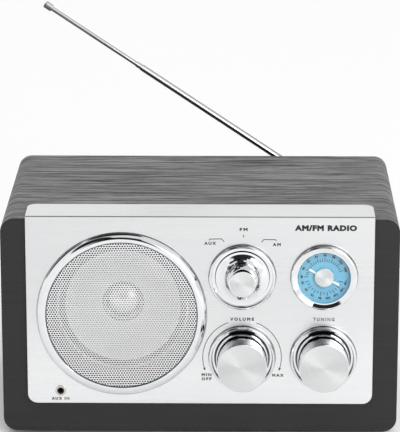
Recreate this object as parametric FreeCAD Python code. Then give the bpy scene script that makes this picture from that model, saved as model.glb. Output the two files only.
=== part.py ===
import FreeCAD, Part
import math
import os
from FreeCAD import Vector

# Tabletop two-band radio: a wrapped cabinet with a folded silver panel, a speaker, a geared tuning dial
# and a telescopic antenna. Millimetres, +Z up, and the front faces -Y. The origin is the middle of the
# footprint, knobs and antenna included, on the surface that the feet stand on.

# ---- cabinet ----
body_width = 280.0
body_depth = 175.0
body_height = 157.5
corner_radius = 10.0
wall = 9.0
inner_radius = 1.5
foot_height = 3.0
foot_radius = 8.0
foot_chamfer = 0.8
foot_inset = 24.0
knob_reach = 26.6  # from the cabinet's front to the face of the tall knobs
antenna_reach = 12.0  # from the cabinet's back to the tips of the antenna's fork

# ---- clearances ----
fit_gap = 0.1  # boards and discs dropped into a recess
running_gap = 0.05  # radial, shafts and sliding tubes
screw_gap = 0.05  # radial, round a screw's shank and round an inlaid disc
face_gap = 0.4  # between faces that move past each other

# ---- front: baffle board, black sheet, silver panel ----
sheet_thick = 0.5
baffle_thick = 16.0
panel_half_width = 122.25
panel_bottom = 21.7  # above the cabinet's underside
panel_thick = 2.4
panel_corner = 7.0
panel_strip_depth = 30.0  # how far the folded strip runs back over the top
panel_edge_round = 0.5

# ---- control positions, from the cabinet's middle and underside ----
speaker_x = -55.1
speaker_up = 88.3
left_column_x = 29.8
right_column_x = 87.15
upper_row_up = 116.0
lower_row_up = 56.3
jack_x = -98.9
jack_up = 31.1

# ---- speaker ----
bezel_rise = 4.0
speaker_bezel_radius = 59.7
speaker_bezel_inner = 53.6
bezel_outer_round = 2.6
bezel_inner_round = 0.4
bezel_spigot_radius = 56.2
grille_recess = 0.8  # from the bezel's front to the grille
grille_radius = 55.0
grille_thick = 0.8
speaker_cutout = 47.0
basket_land = 5.5  # how far the basket's flange overlaps the baffle round the cutout
basket_flange = 1.5
surround_gap = 1.4  # radial, between the cutout and the foam surround
surround_width = 4.6
surround_roll = 2.2
surround_thick = 0.6
roll_steps = 10
roll_inner = 0.75  # the roll's hollow side, as a share of its outer side
cone_depth = 11.0
cone_neck = 12.5
cone_thick = 0.6
dust_cap_radius = 14.0
dust_cap_rise = 5.0
cap_gap = 0.4  # from the cone to the edge of the dust cap, along the axis
cap_steps = 8
basket_depth = 26.0
basket_back_radius = 27.0
basket_wall = 1.2
window_half = 13.0
window_rim = 2.0  # metal left round the seat inside each window
window_front = 6.0  # from the flange's seat to the windows
window_back = 5.0  # from the windows to the basket's rear
cone_lip = 1.2  # the cone's glued edge, across
magnet_radius = 27.5
magnet_depth = 18.0
magnet_waist = 22.0
magnet_neck = 13.5
pole_radius = 9.0
pole_forward = 3.0
magnet_plate = 4.0
pole_gap = 1.0  # radial, between the basket's neck and the bonded stack

# ---- round bezels round the knobs and dial ----
control_bezel_radius = 23.4
control_bezel_rise = 3.7
rim_width = 1.6
rim_round = 1.2
dish_inner = 19.6
dish_floor = 0.5
dish_spigot = 10.0
dish_hole_radius = 5.0
dial_crest = 22.0  # where the dial's flat rim turns into its slope
dial_slope_depth = 1.0
dial_lip = 0.3  # thickness of the slope's inner edge
dial_lens_radius = 18.6
dial_lens_recess = 0.3  # from the rim to the lens
dial_lens_edge = 0.4
lens_flange_radius = 20.0
lens_flange_thick = 0.8
dial_plate_thick = 1.0
dial_plate_hole = 21.0
dial_shaft_hole = 9.0

# ---- knobs ----
knob_base_radius = 18.8
knob_face_radius = 17.5
knob_shell = 2.0
knob_face_disc = 16.9
knob_face_thick = 0.6
knob_foot_gap = 0.7
knob_rim_round = 0.25
selector_base_radius = 11.3
selector_face_radius = 9.3
selector_rim = 0.7
skirt_edge = 1.2
skirt_rise = 5.0
skirt_steps = 8
selector_reach = 20.6
shaft_radius = 3.0
boss_radius = 5.2
shaft_depth_in_body = 4.0
tuning_tail = 5.0

# ---- tuning gears ----
gear_module = 0.8
pinion_teeth = 18
idler_teeth = 42
dial_teeth = 54
gear_thick = 4.0
gear_back = 2.5  # gears start this far behind the baffle
pressure_angle = math.radians(20.0)
addendum = 0.9  # tooth height outside the pitch circle, in modules
dedendum = 1.2
tooth_backlash = 0.16
flank_steps = 5
idler_stud_radius = 2.0
idler_hub_radius = 4.5
stud_head = 1.2
stud_head_radius = 3.2
pointer_pin_radius = 1.5
pointer_angle = 152.0  # the pointer bar, from +X towards +Z
pointer_reach = 12.0
pointer_width = 1.4
pointer_hub_radius = 6.8
hub_thick = 1.4
hub_round = 0.4
pointer_bar_thick = 0.7
pointer_float = 0.5  # the bar clears the dial plate by this

# ---- control plate and boards ----
post_length = 11.5
post_radius = 2.5
plate_thick = 1.5
plate_left = 6.0
plate_right = 118.0
plate_low = 34.0
plate_high = 140.0
plate_screw_inset = 5.0
pot_radius = 8.5
pot_depth = 9.0
control_bush_radius = 3.6
control_bush_length = 5.0
capacitor_bush_length = 4.0
control_nut_radius = 5.5
control_nut_thick = 2.0
tuning_bush_radius = 5.0
tuning_bush_tail = 2.0
tuning_bush_flange = 1.5
tuning_flange_radius = 7.0
tag_half = 5.0
tag_thick = 2.0
tag_back = 2.0  # solder tags behind the plate
tag_reach = 5.0
tag_root = 1.0
switch_radius = 13.0
switch_depth = 10.0
capacitor_size = 22.0
capacitor_depth = 16.0
board_thick = 1.6
board_left = -16.0
board_right = 115.0
board_front = -28.0
board_back = 58.0
header_x = 2.0
header_y = 8.0
header_half_width = 8.0
header_half_depth = 3.0
header_height = 7.0
filter_count = 3
filter_x = 10.0
filter_y = 44.0
filter_pitch = 18.0
filter_radius = 6.5
filter_height = 22.0
coil_count = 4
coil_x = 62.0
coil_y = 10.0
coil_pitch = 12.0
coil_half = 4.0
coil_height = 10.0
sink_x = 87.0
sink_y = 42.0
sink_half_width = 17.0
sink_half_thick = 2.0
sink_height = 26.0
chip_half_width = 7.0
chip_thick = 4.0
chip_low = 2.0
chip_high = 18.0
transformer_y = 38.0
transformer_x = -92.0
transformer_half = 22.0
core_half_depth = 10.0
core_height = 36.0
core_leg = 7.0  # width of the core round the winding
winding_half_depth = 18.0
strap_half_depth = 5.0
transformer_tab = 2.0
transformer_tab_reach = 8.0
ferrite_radius = 4.0
ferrite_half = 50.0
ferrite_x = -20.0
ferrite_y = 40.0
ferrite_drop = 14.0
ferrite_winding_half = 16.0
ferrite_winding_thick = 1.2
hanger_inset = 10.0
hanger_half_width = 3.0
hanger_half = 7.0
lead_bend = 8.0
lead_radius = 0.9
lead_pitch = 4.0
lead_start_x = 12.0  # from the speaker's axis
lead_start_drop = 12.0
lead_slope_drop = 24.0

# ---- screws ----
screw_radius = 1.5
screw_head_radius = 2.8
screw_head_height = 1.8
screw_length = 8.0

# ---- audio socket on the front ----
jack_half = 6.0
jack_depth = 15.0
jack_barrel_radius = 2.5
jack_ring_radius = 3.85
jack_ring_rise = 0.5
jack_bore_radius = 1.8
jack_end_wall = 1.0
jack_ring_round = 0.3

# ---- back ----
cover_thick = 3.0
cover_gap = 0.3
block_size = 14.0
block_depth = 20.0
block_rise = 2.0
vent_width = 60.0
vent_height = 3.0
vent_pitch = 7.0
vent_count = 7
inlet_x = -92.0
inlet_up = 32.0
inlet_width = 22.0
inlet_height = 14.0
inlet_depth = 18.0
socket_width = 16.4
socket_height = 8.4
socket_depth = 13.0
socket_pin_radius = 1.2
socket_pin_length = 9.5
socket_pin_root = 1.0
socket_pin_spacing = 8.6
inlet_lip = 3.0
inlet_flange = 1.5

# ---- antenna, measured along it from its tilt pin ----
antenna_x = 84.0
antenna_up = 137.0
antenna_angle = 146.1  # from +X towards +Z
antenna_axis_back = 8.0  # tube axis behind the cabinet's back
outer_tube_radius = 2.5
tube_wall = 0.35
outer_tube_start = 12.0
outer_tube_end = 157.0
middle_tube_out = 4.7
middle_tube_length = 140.0
rod_out = 76.4
rod_length = 136.0
tip_radius = 2.75
tip_length = 6.5
tip_round = 1.2
swivel_radius = 6.0
swivel_stem_radius = 2.0
stem_nut_radius = 4.0
stem_nut_back = 3.0
swivel_foot = 2.0
bracket_thick = 1.5
bracket_half = 9.0
bracket_corner = 2.0
ear_thick = 1.6
ear_root = 1.0
tongue_thick = 2.8
tongue_radius = 3.4
tongue_neck = 2.3
hinge_pin_radius = 1.2
collar_radius = 2.9
collar_start = 7.0
collar_spigot = 4.0

# ---- places worked out from the above ----
basket_radius = speaker_cutout + basket_land
surround_outer = speaker_cutout - surround_gap
surround_inner = surround_outer - surround_width
front_y = knob_reach - (body_depth + knob_reach + antenna_reach) / 2
back_y = front_y + body_depth
under_z = foot_height
top_z = under_z + body_height
inside_floor = under_z + wall
inside_top = top_z - wall
inside_half = body_width / 2 - wall
panel_front = front_y - panel_thick
baffle_front = front_y + sheet_thick
baffle_back = baffle_front + baffle_thick
plate_front = baffle_back + post_length
plate_back = plate_front + plate_thick
gear_front = baffle_back + gear_back
gear_rear = gear_front + gear_thick
upper_z = under_z + upper_row_up
lower_z = under_z + lower_row_up
speaker_z = under_z + speaker_up
jack_z = under_z + jack_up
board_top = inside_floor + post_length + board_thick
rim_y = panel_front - control_bezel_rise
grille_front = panel_front - bezel_rise + grille_recess
plate_face_y = front_y - dial_plate_thick
lens_y = rim_y + dial_lens_recess
lens_flange_y = rim_y + dial_slope_depth + dial_lip
knob_base_y = panel_front - dish_floor - knob_foot_gap
knob_face_y = front_y - knob_reach
selector_face_y = front_y - selector_reach
pointer_back = plate_face_y - pointer_float
antenna_z = under_z + antenna_up
middle_radius = outer_tube_radius - tube_wall - running_gap
rod_radius = middle_radius - tube_wall - running_gap
rod_end = outer_tube_end + middle_tube_out + rod_out
ferrite_z = inside_top - ferrite_drop
transformer_screw_xs = (
    transformer_x - transformer_half - transformer_tab_reach / 2,
    transformer_x + transformer_half + transformer_tab_reach / 2,
)
forward = Vector(0, -1, 0)
down = Vector(0, 0, -1)


def block(x0, x1, y0, y1, z0, z1):
    return Part.makeBox(x1 - x0, y1 - y0, z1 - z0, Vector(x0, y0, z0))


def disc(x, z, radius, y0, y1):
    """A round bar along Y."""
    return Part.makeCylinder(radius, y1 - y0, Vector(x, y0, z), Vector(0, 1, 0))


def post(x, y, radius, z0, z1):
    """A round bar along Z."""
    return Part.makeCylinder(radius, z1 - z0, Vector(x, y, z0), Vector(0, 0, 1))


def ring(x, z, outer, inner, y0, y1):
    return disc(x, z, outer, y0, y1).cut(disc(x, z, inner, y0, y1))


def turned(x, z, outline):
    """A closed outline of (radius, y) points spun about the Y axis through x, z."""
    points = [Vector(x + radius, y, z) for radius, y in outline]
    face = Part.Face(Part.makePolygon(points + points[:1]))
    return face.revolve(Vector(x, 0, z), Vector(0, 1, 0), 360)


def along(edge, axis):
    """True for a straight edge that runs along axis."""
    if edge.Curve.TypeId != "Part::GeomLine":
        return False
    return abs(edge.tangentAt(edge.FirstParameter).dot(axis)) > 0.999


def circle_edges(shape, radius, y):
    """The round edges of one radius that lie in the plane of one y."""
    found = []
    for edge in shape.Edges:
        if edge.Curve.TypeId != "Part::GeomCircle":
            continue
        if abs(edge.Curve.Radius - radius) < 1e-4 and abs(edge.Curve.Center.y - y) < 1e-4:
            found.append(edge)
    return found


def rounded_prism(half_width, z0, z1, y0, y1, radius):
    """A bar along Y with rounded corners, centred on x = 0."""
    shape = block(-half_width, half_width, y0, y1, z0, z1)
    corners = [edge for edge in shape.Edges if along(edge, Vector(0, 1, 0))]
    return shape.makeFillet(radius, corners)


def screw(x, y, z, into):
    """A pan-head screw: its head's underside is at x, y, z and its shank runs along into."""
    start = Vector(x, y, z)
    shank = Part.makeCylinder(screw_radius, screw_length, start, into)
    head = Part.makeCylinder(screw_head_radius, screw_head_height, start, into * -1)
    return head.fuse(shank).removeSplitter()


def screw_hole(x, y, z, into):
    """The clearance that a screw's shank needs on both sides of where its head sits."""
    start = Vector(x, y, z) - into * screw_length
    return Part.makeCylinder(screw_radius + screw_gap, 2 * screw_length + screw_gap, start, into)


def cut_all(shape, tools):
    for tool in tools:
        shape = shape.cut(tool)
    return shape


# ---------------------------------------------------------------- fastening points

def speaker_screw_points():
    reach = (speaker_cutout + basket_radius) / 2
    points = []
    for quarter in range(4):
        angle = math.radians(45 + 90 * quarter)
        x = speaker_x + reach * math.cos(angle)
        z = speaker_z + reach * math.sin(angle)
        points.append((x, baffle_back + basket_flange, z))
    return points


def plate_screw_points():
    xs = (plate_left + plate_screw_inset, plate_right - plate_screw_inset)
    zs = (under_z + plate_low + plate_screw_inset, under_z + plate_high - plate_screw_inset)
    return [(x, plate_back, z) for x in xs for z in zs]


def board_screw_points():
    xs = (board_left + plate_screw_inset, board_right - plate_screw_inset)
    ys = (board_front + plate_screw_inset, board_back - plate_screw_inset)
    return [(x, y, board_top) for x in xs for y in ys]


def transformer_screw_points():
    return [(x, transformer_y, inside_floor + transformer_tab) for x in transformer_screw_xs]


def cover_screw_points():
    reach = inside_half - block_size / 2
    low = inside_floor + block_rise + block_size / 2
    high = inside_top - block_rise - block_size / 2
    return [(x, back_y, z) for x in (-reach, reach) for z in (low, high)]


# ---------------------------------------------------------------- cabinet

def cabinet_shell():
    outside = rounded_prism(body_width / 2, under_z, top_z, baffle_front, back_y, corner_radius)
    inside = rounded_prism(inside_half, inside_floor, inside_top, baffle_front, back_y, inner_radius)
    shell = outside.cut(inside)
    return cut_all(shell, [screw_hole(x, y, z, down) for x, y, z in transformer_screw_points()])


def front_openings(y0, y1):
    """The holes that the black sheet and the baffle board share."""
    return [
        disc(speaker_x, speaker_z, speaker_cutout, y0, y1),
        disc(right_column_x, upper_z, dial_shaft_hole, y0, y1),
        disc(left_column_x, upper_z, dish_spigot + fit_gap, y0, y1),
        disc(left_column_x, lower_z, dish_spigot + fit_gap, y0, y1),
        disc(right_column_x, lower_z, dish_spigot + fit_gap, y0, y1),
        block(
            jack_x - jack_half - fit_gap, jack_x + jack_half + fit_gap, y0, y1,
            jack_z - jack_half - fit_gap, jack_z + jack_half + fit_gap,
        ),
    ]


def front_sheet():
    sheet = rounded_prism(body_width / 2, under_z, top_z, front_y, baffle_front, corner_radius)
    return cut_all(sheet, front_openings(front_y, baffle_front))


def front_baffle():
    board = rounded_prism(
        inside_half - fit_gap, inside_floor + fit_gap, inside_top - fit_gap,
        baffle_front, baffle_back, inner_radius,
    )
    board = cut_all(board, front_openings(baffle_front, baffle_back))
    return cut_all(board, [screw_hole(x, y, z, forward) for x, y, z in speaker_screw_points()])


def front_panel():
    """The silver panel: an upright plate whose top folds back over the cabinet."""
    upright = block(
        -panel_half_width, panel_half_width, panel_front, front_y,
        under_z + panel_bottom, top_z + panel_thick,
    )
    low = [
        edge for edge in upright.Edges
        if along(edge, Vector(0, 1, 0)) and edge.CenterOfMass.z < speaker_z
    ]
    upright = upright.makeFillet(panel_corner, low)
    strip = block(
        -panel_half_width, panel_half_width, panel_front, front_y + panel_strip_depth,
        top_z, top_z + panel_thick,
    )
    rear = [
        edge for edge in strip.Edges
        if along(edge, Vector(0, 0, 1)) and edge.CenterOfMass.y > front_y
    ]
    strip = strip.makeFillet(panel_corner, rear)
    panel = upright.fuse(strip).removeSplitter()
    rim = [
        edge for edge in panel.Edges
        if abs(edge.BoundBox.YMin - panel_front) < 1e-4 and edge.BoundBox.YLength < 1e-4
        or abs(edge.BoundBox.ZMax - top_z - panel_thick) < 1e-4 and edge.BoundBox.ZLength < 1e-4
    ]
    panel = panel.makeFillet(panel_edge_round, rim)
    holes = [disc(speaker_x, speaker_z, bezel_spigot_radius + fit_gap, panel_front, front_y)]
    holes.append(disc(right_column_x, upper_z, dial_plate_hole, panel_front, front_y))
    for x, z in ((left_column_x, upper_z), (left_column_x, lower_z), (right_column_x, lower_z)):
        holes.append(disc(x, z, dish_spigot + fit_gap, panel_front, front_y))
    holes.append(disc(jack_x, jack_z, jack_barrel_radius + running_gap, panel_front, front_y))
    return cut_all(panel, holes)


def feet():
    solids = []
    for x in (-1, 1):
        for y in (front_y + foot_inset, back_y - foot_inset):
            foot = post(x * (body_width / 2 - foot_inset), y, foot_radius, 0, foot_height)
            low = [edge for edge in foot.Edges if edge.BoundBox.ZMax < 1e-4]
            solids.append(foot.makeChamfer(foot_chamfer, low))
    return Part.makeCompound(solids)


# ---------------------------------------------------------------- speaker

def speaker_bezel():
    """A flat-faced ring with a rounded edge, hollow behind its lip for the grille's turned rim."""
    front = panel_front - bezel_rise
    bore = grille_radius + fit_gap
    bezel = turned(speaker_x, speaker_z, [
        (speaker_bezel_inner, front),
        (speaker_bezel_radius, front),
        (speaker_bezel_radius, panel_front),
        (bezel_spigot_radius, panel_front),
        (bezel_spigot_radius, front_y),
        (bore, front_y),
        (bore, grille_front),
        (speaker_bezel_inner, grille_front),
    ])
    bezel = bezel.makeFillet(bezel_outer_round, circle_edges(bezel, speaker_bezel_radius, front))
    return bezel.makeFillet(bezel_inner_round, circle_edges(bezel, speaker_bezel_inner, front))


def speaker_grille():
    """A pressed disc whose rim turns back and stands on the black sheet."""
    inside = grille_radius - grille_thick
    return turned(speaker_x, speaker_z, [
        (0, grille_front),
        (grille_radius, grille_front),
        (grille_radius, front_y),
        (inside, front_y),
        (inside, grille_front + grille_thick),
        (0, grille_front + grille_thick),
    ])


def speaker_basket():
    """Pressed frame: a flat flange, a dished body with four windows and a seat for the magnet."""
    seat = baffle_back
    rear = seat + basket_depth
    basket = turned(speaker_x, speaker_z, [
        (surround_outer, seat),
        (basket_radius, seat),
        (basket_radius, seat + basket_flange),
        (surround_outer + basket_wall, seat + basket_flange),
        (basket_back_radius + basket_wall, rear - basket_wall),
        (basket_back_radius + basket_wall, rear),
        (magnet_neck, rear),
        (magnet_neck, rear - basket_wall),
        (basket_back_radius, rear - basket_wall),
        (surround_outer, seat + basket_flange),
    ])
    tools = [
        screw_hole(x, y, z, forward) for x, y, z in speaker_screw_points()
    ]
    for quarter in range(4):
        window = block(
            speaker_x + basket_back_radius + window_rim, speaker_x + basket_radius,
            seat + window_front, rear - window_back,
            speaker_z - window_half, speaker_z + window_half,
        )
        window.rotate(Vector(speaker_x, 0, speaker_z), Vector(0, 1, 0), 90 * quarter)
        tools.append(window)
    return cut_all(basket, tools)


def speaker_surround():
    """A half roll of foam between the cone and the flange."""
    seat = baffle_back + basket_flange
    middle = (surround_outer + surround_inner) / 2
    half = (surround_outer - surround_inner) / 2
    outline = [(surround_outer, seat), (surround_outer, seat - surround_thick)]
    inner = []
    for step in range(roll_steps + 1):
        angle = math.pi * step / roll_steps
        out = half - surround_thick
        across = out * math.cos(angle)
        rise = math.sin(angle)
        outline.append((middle + across, seat - surround_thick - surround_roll * rise))
        inner.append((middle + roll_inner * across, seat - roll_inner * surround_roll * rise))
    outline += [(surround_inner, seat - surround_thick), (surround_inner, seat)]
    return turned(speaker_x, speaker_z, outline + inner[::-1])


def speaker_cone():
    seat = baffle_back + basket_flange
    neck = seat + cone_depth
    return turned(speaker_x, speaker_z, [
        (surround_inner, seat - surround_thick),
        (surround_inner, seat),
        (cone_neck, neck),
        (cone_neck - cone_thick, neck),
        (cone_neck - cone_thick, neck - cone_thick),
        (surround_inner - cone_lip, seat - surround_thick),
    ])


def cone_front(radius):
    """Where the front of the cone lies at one radius."""
    rim = surround_inner - cone_lip
    neck = cone_neck - cone_thick
    share = (rim - radius) / (rim - neck)
    return baffle_back + basket_flange - surround_thick + share * cone_depth


def speaker_dust_cap():
    """A shallow dome glued into the cone just above its neck."""
    base = cone_front(dust_cap_radius) - cap_gap
    ball = (dust_cap_radius ** 2 + dust_cap_rise ** 2) / (2 * dust_cap_rise)
    span = math.asin(dust_cap_radius / ball)
    outer = []
    inner = []
    for step in range(cap_steps + 1):
        angle = span * step / cap_steps
        outer.append((ball * math.sin(angle), base - dust_cap_rise + ball * (1 - math.cos(angle))))
        thin = ball - cone_thick
        inner.append((thin * math.sin(angle), base - dust_cap_rise + ball - thin * math.cos(angle)))
    return turned(speaker_x, speaker_z, outer + inner[::-1])


def speaker_magnet():
    """Front plate, ferrite ring and back plate, one bonded stack."""
    start = baffle_back + basket_depth
    return turned(speaker_x, speaker_z, [
        (0, start - pole_forward),
        (pole_radius, start - pole_forward),
        (pole_radius, start + magnet_plate),
        (magnet_neck - pole_gap, start + magnet_plate),
        (magnet_neck - pole_gap, start),
        (magnet_waist, start),
        (magnet_waist, start + magnet_plate),
        (magnet_radius, start + magnet_plate),
        (magnet_radius, start + magnet_depth - magnet_plate),
        (magnet_waist, start + magnet_depth - magnet_plate),
        (magnet_waist, start + magnet_depth),
        (0, start + magnet_depth),
    ])


# ---------------------------------------------------------------- bezels

def dished_bezel(x, z):
    """A chrome dish round a tall knob: rounded rim, sloping inside, flat floor and a spigot."""
    dish = turned(x, z, [
        (dish_hole_radius, panel_front - dish_floor),
        (dish_inner, panel_front - dish_floor),
        (control_bezel_radius - rim_width, rim_y),
        (control_bezel_radius, rim_y),
        (control_bezel_radius, panel_front),
        (dish_spigot, panel_front),
        (dish_spigot, front_y),
        (dish_hole_radius, front_y),
    ])
    return dish.makeFillet(rim_round, circle_edges(dish, control_bezel_radius, rim_y))


def dial_bezel():
    """A chrome ring that slopes in to the lens, with a skirt behind it that holds the dial plate."""
    window = dial_lens_radius + fit_gap
    bore = lens_flange_radius + fit_gap
    skirt = dial_plate_hole - fit_gap
    bezel = turned(right_column_x, upper_z, [
        (window, rim_y + dial_slope_depth),
        (dial_crest, rim_y),
        (control_bezel_radius, rim_y),
        (control_bezel_radius, panel_front),
        (skirt, panel_front),
        (skirt, plate_face_y),
        (bore, plate_face_y),
        (bore, lens_flange_y),
        (window, lens_flange_y),
    ])
    return bezel.makeFillet(rim_round, circle_edges(bezel, control_bezel_radius, rim_y))


def dial_lens():
    """A clear disc through the ring, with a flange behind its lip."""
    return turned(right_column_x, upper_z, [
        (0, lens_y),
        (dial_lens_radius - dial_lens_edge, lens_y),
        (dial_lens_radius, lens_y + dial_lens_edge),
        (dial_lens_radius, lens_flange_y),
        (lens_flange_radius, lens_flange_y),
        (lens_flange_radius, lens_flange_y + lens_flange_thick),
        (0, lens_flange_y + lens_flange_thick),
    ])


def dial_plate():
    return ring(
        right_column_x, upper_z, dial_plate_hole - fit_gap, pointer_pin_radius + face_gap,
        plate_face_y, front_y,
    )


# ---------------------------------------------------------------- knobs and shafts

def hollow_knob(x, z, outline, face_y, disc_radius):
    """A knob, hollow behind, with a boss for its shaft and a recess for its face disc.

    outline runs from the face's rim to the foot, as (radius, y).
    """
    floor = face_y + knob_face_thick
    inside = [(radius - knob_shell, y) for radius, y in outline]
    inside[0] = (inside[0][0], floor + knob_shell)
    foot = outline[-1][1]
    knob = turned(
        x, z,
        [(0, floor), (disc_radius + screw_gap, floor), (disc_radius + screw_gap, face_y)]
        + outline
        + inside[::-1]
        + [(boss_radius, floor + knob_shell), (boss_radius, foot), (0, foot)],
    )
    knob = knob.cut(disc(x, z, shaft_radius, floor + knob_shell, foot))
    return knob.makeFillet(knob_rim_round, circle_edges(knob, outline[0][0], face_y))


def tall_knob(x):
    outline = [(knob_face_radius, knob_face_y), (knob_base_radius, knob_base_y)]
    return hollow_knob(x, lower_z, outline, knob_face_y, knob_face_disc)


def tall_knob_face(x):
    """The spun aluminium disc let into a tall knob."""
    return disc(x, lower_z, knob_face_disc, knob_face_y, knob_face_y + knob_face_thick)


def selector_knob():
    """A slim grip on a wide skirt that sweeps up to it in a hollow curve."""
    skirt_y = knob_base_y - skirt_edge
    outline = [(selector_face_radius, selector_face_y)]
    sweep = knob_base_radius - selector_base_radius
    for step in range(skirt_steps + 1):
        turn = math.radians(90) * step / skirt_steps
        radius = knob_base_radius - sweep * math.sin(turn)
        outline.insert(1, (radius, skirt_y - skirt_rise * (1 - math.cos(turn))))
    outline.append((knob_base_radius, knob_base_y))
    return hollow_knob(
        left_column_x, upper_z, outline, selector_face_y, selector_face_radius - selector_rim,
    )


def selector_face():
    return disc(
        left_column_x, upper_z, selector_face_radius - selector_rim,
        selector_face_y, selector_face_y + knob_face_thick,
    )


def knob_shaft(x, z, face_y, rear_y):
    return disc(x, z, shaft_radius, face_y + knob_face_thick + knob_shell, rear_y)


def control_shaft(z, face_y):
    """The shaft of the volume control or the band selector, ending inside its body."""
    return knob_shaft(left_column_x, z, face_y, plate_back + shaft_depth_in_body)


def control_body(z, radius, depth):
    """A potentiometer or switch behind the plate, with a threaded bush in front of it."""
    can = disc(left_column_x, z, radius, plate_back, plate_back + depth)
    bush = disc(
        left_column_x, z, control_bush_radius,
        plate_front - control_bush_length, plate_back,
    )
    nut = disc(left_column_x, z, control_nut_radius, plate_front - control_nut_thick, plate_front)
    tags = block(
        left_column_x - tag_half, left_column_x + tag_half,
        plate_back + tag_back, plate_back + tag_back + tag_thick,
        z - radius - tag_reach, z - radius + tag_root,
    )
    bore = disc(
        left_column_x, z, shaft_radius + running_gap,
        plate_front - control_bush_length, plate_back + shaft_depth_in_body + face_gap,
    )
    return can.fuse([bush, nut, tags]).removeSplitter().cut(bore)


# ---------------------------------------------------------------- tuning gear train

def involute(angle):
    return math.tan(angle) - angle


def gear(x, z, teeth, phase):
    """An involute spur gear about Y, with the middle of one tooth at the angle phase."""
    pitch = gear_module * teeth / 2
    base = pitch * math.cos(pressure_angle)
    tip = pitch + addendum * gear_module
    root = pitch - dedendum * gear_module
    start = max(base, root)
    half = math.pi / (2 * teeth) - tooth_backlash / (4 * pitch) + involute(pressure_angle)
    flank = [(root, half)] if root < base else []
    for step in range(flank_steps + 1):
        radius = start + (tip - start) * step / flank_steps
        lean = math.acos(min(1.0, base / radius))
        flank.append((radius, half - involute(lean)))
    points = []
    for tooth in range(teeth):
        middle = phase + 2 * math.pi * tooth / teeth
        for radius, offset in flank:
            points.append(spot(x, z, radius, middle - offset))
        for radius, offset in flank[::-1]:
            points.append(spot(x, z, radius, middle + offset))
    face = Part.Face(Part.makePolygon(points + points[:1]))
    return face.extrude(Vector(0, gear_thick, 0))


def spot(x, z, radius, angle):
    return Vector(x + radius * math.cos(angle), gear_front, z + radius * math.sin(angle))


def meshing_phase(teeth, phase, next_teeth, direction):
    """The phase that puts a gap of the next gear on the tooth that points along direction."""
    return direction + math.pi - (math.pi - teeth * (direction - phase)) / next_teeth


def idler_place():
    """The idler's centre, at the two mesh distances from the tuning and dial axes."""
    span = upper_z - lower_z
    to_pinion = gear_module * (pinion_teeth + idler_teeth) / 2
    to_dial = gear_module * (idler_teeth + dial_teeth) / 2
    up = (to_pinion ** 2 - to_dial ** 2 + span ** 2) / (2 * span)
    side = math.sqrt(to_pinion ** 2 - up ** 2)
    return right_column_x - side, lower_z + up


idler_x, idler_z = idler_place()
pinion_to_idler = math.atan2(idler_z - lower_z, idler_x - right_column_x)
idler_to_dial = math.atan2(upper_z - idler_z, right_column_x - idler_x)
idler_phase = meshing_phase(pinion_teeth, pinion_to_idler, idler_teeth, pinion_to_idler)
dial_phase = meshing_phase(idler_teeth, idler_phase, dial_teeth, idler_to_dial)


def idler_gear():
    wheel = gear(idler_x, idler_z, idler_teeth, idler_phase)
    hub = disc(idler_x, idler_z, idler_hub_radius, gear_rear, plate_front - face_gap)
    bore = disc(idler_x, idler_z, idler_stud_radius + running_gap, gear_front, plate_front)
    return wheel.fuse(hub).removeSplitter().cut(bore)


def idler_stud():
    """A headed stud riveted into the control plate."""
    pin = disc(idler_x, idler_z, idler_stud_radius, gear_front - face_gap, plate_back)
    head = disc(
        idler_x, idler_z, stud_head_radius,
        gear_front - face_gap - stud_head, gear_front - face_gap,
    )
    return pin.fuse(head).removeSplitter()


def dial_gear():
    wheel = gear(right_column_x, upper_z, dial_teeth, dial_phase)
    hub = disc(
        right_column_x, upper_z, boss_radius,
        gear_rear, plate_front - capacitor_bush_length - face_gap,
    )
    bore = disc(right_column_x, upper_z, shaft_radius, gear_front, plate_front)
    return wheel.fuse(hub).removeSplitter().cut(bore)


def capacitor_shaft():
    """The tuning capacitor's rotor shaft, stepped down in front to a pin for the pointer."""
    thick = disc(
        right_column_x, upper_z, shaft_radius,
        gear_front - face_gap, plate_back + shaft_depth_in_body,
    )
    pin = disc(
        right_column_x, upper_z, pointer_pin_radius,
        pointer_back - pointer_bar_thick, gear_front - face_gap,
    )
    return thick.fuse(pin).removeSplitter()


def pointer_bar():
    """The white bar, read at both ends."""
    bar = block(
        -pointer_reach, pointer_reach, pointer_back - pointer_bar_thick, pointer_back,
        -pointer_width / 2, pointer_width / 2,
    )
    bar.rotate(Vector(0, 0, 0), forward, pointer_angle)
    bar.translate(Vector(right_column_x, 0, upper_z))
    hole = disc(
        right_column_x, upper_z, pointer_pin_radius,
        pointer_back - pointer_bar_thick, pointer_back,
    )
    return bar.cut(hole)


def pointer_hub():
    """The spun cap over the middle of the bar."""
    front = pointer_back - pointer_bar_thick - hub_thick
    hub = disc(right_column_x, upper_z, pointer_hub_radius, front, pointer_back - pointer_bar_thick)
    return hub.makeFillet(hub_round, circle_edges(hub, pointer_hub_radius, front))


def tuning_shaft():
    """The tuning knob's shaft, with the pinion cut on it."""
    shaft = knob_shaft(right_column_x, lower_z, knob_face_y, plate_back + tuning_tail)
    return shaft.fuse(gear(right_column_x, lower_z, pinion_teeth, pinion_to_idler)).removeSplitter()


def tuning_bush():
    """The flanged bearing that carries the tuning shaft in the plate."""
    tail = plate_back + tuning_bush_tail
    bush = disc(right_column_x, lower_z, tuning_bush_radius, gear_rear + face_gap, tail)
    flange = disc(
        right_column_x, lower_z, tuning_flange_radius, plate_front - tuning_bush_flange, plate_front,
    )
    bore = disc(right_column_x, lower_z, shaft_radius + running_gap, gear_rear, tail)
    return bush.fuse(flange).removeSplitter().cut(bore)


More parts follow.
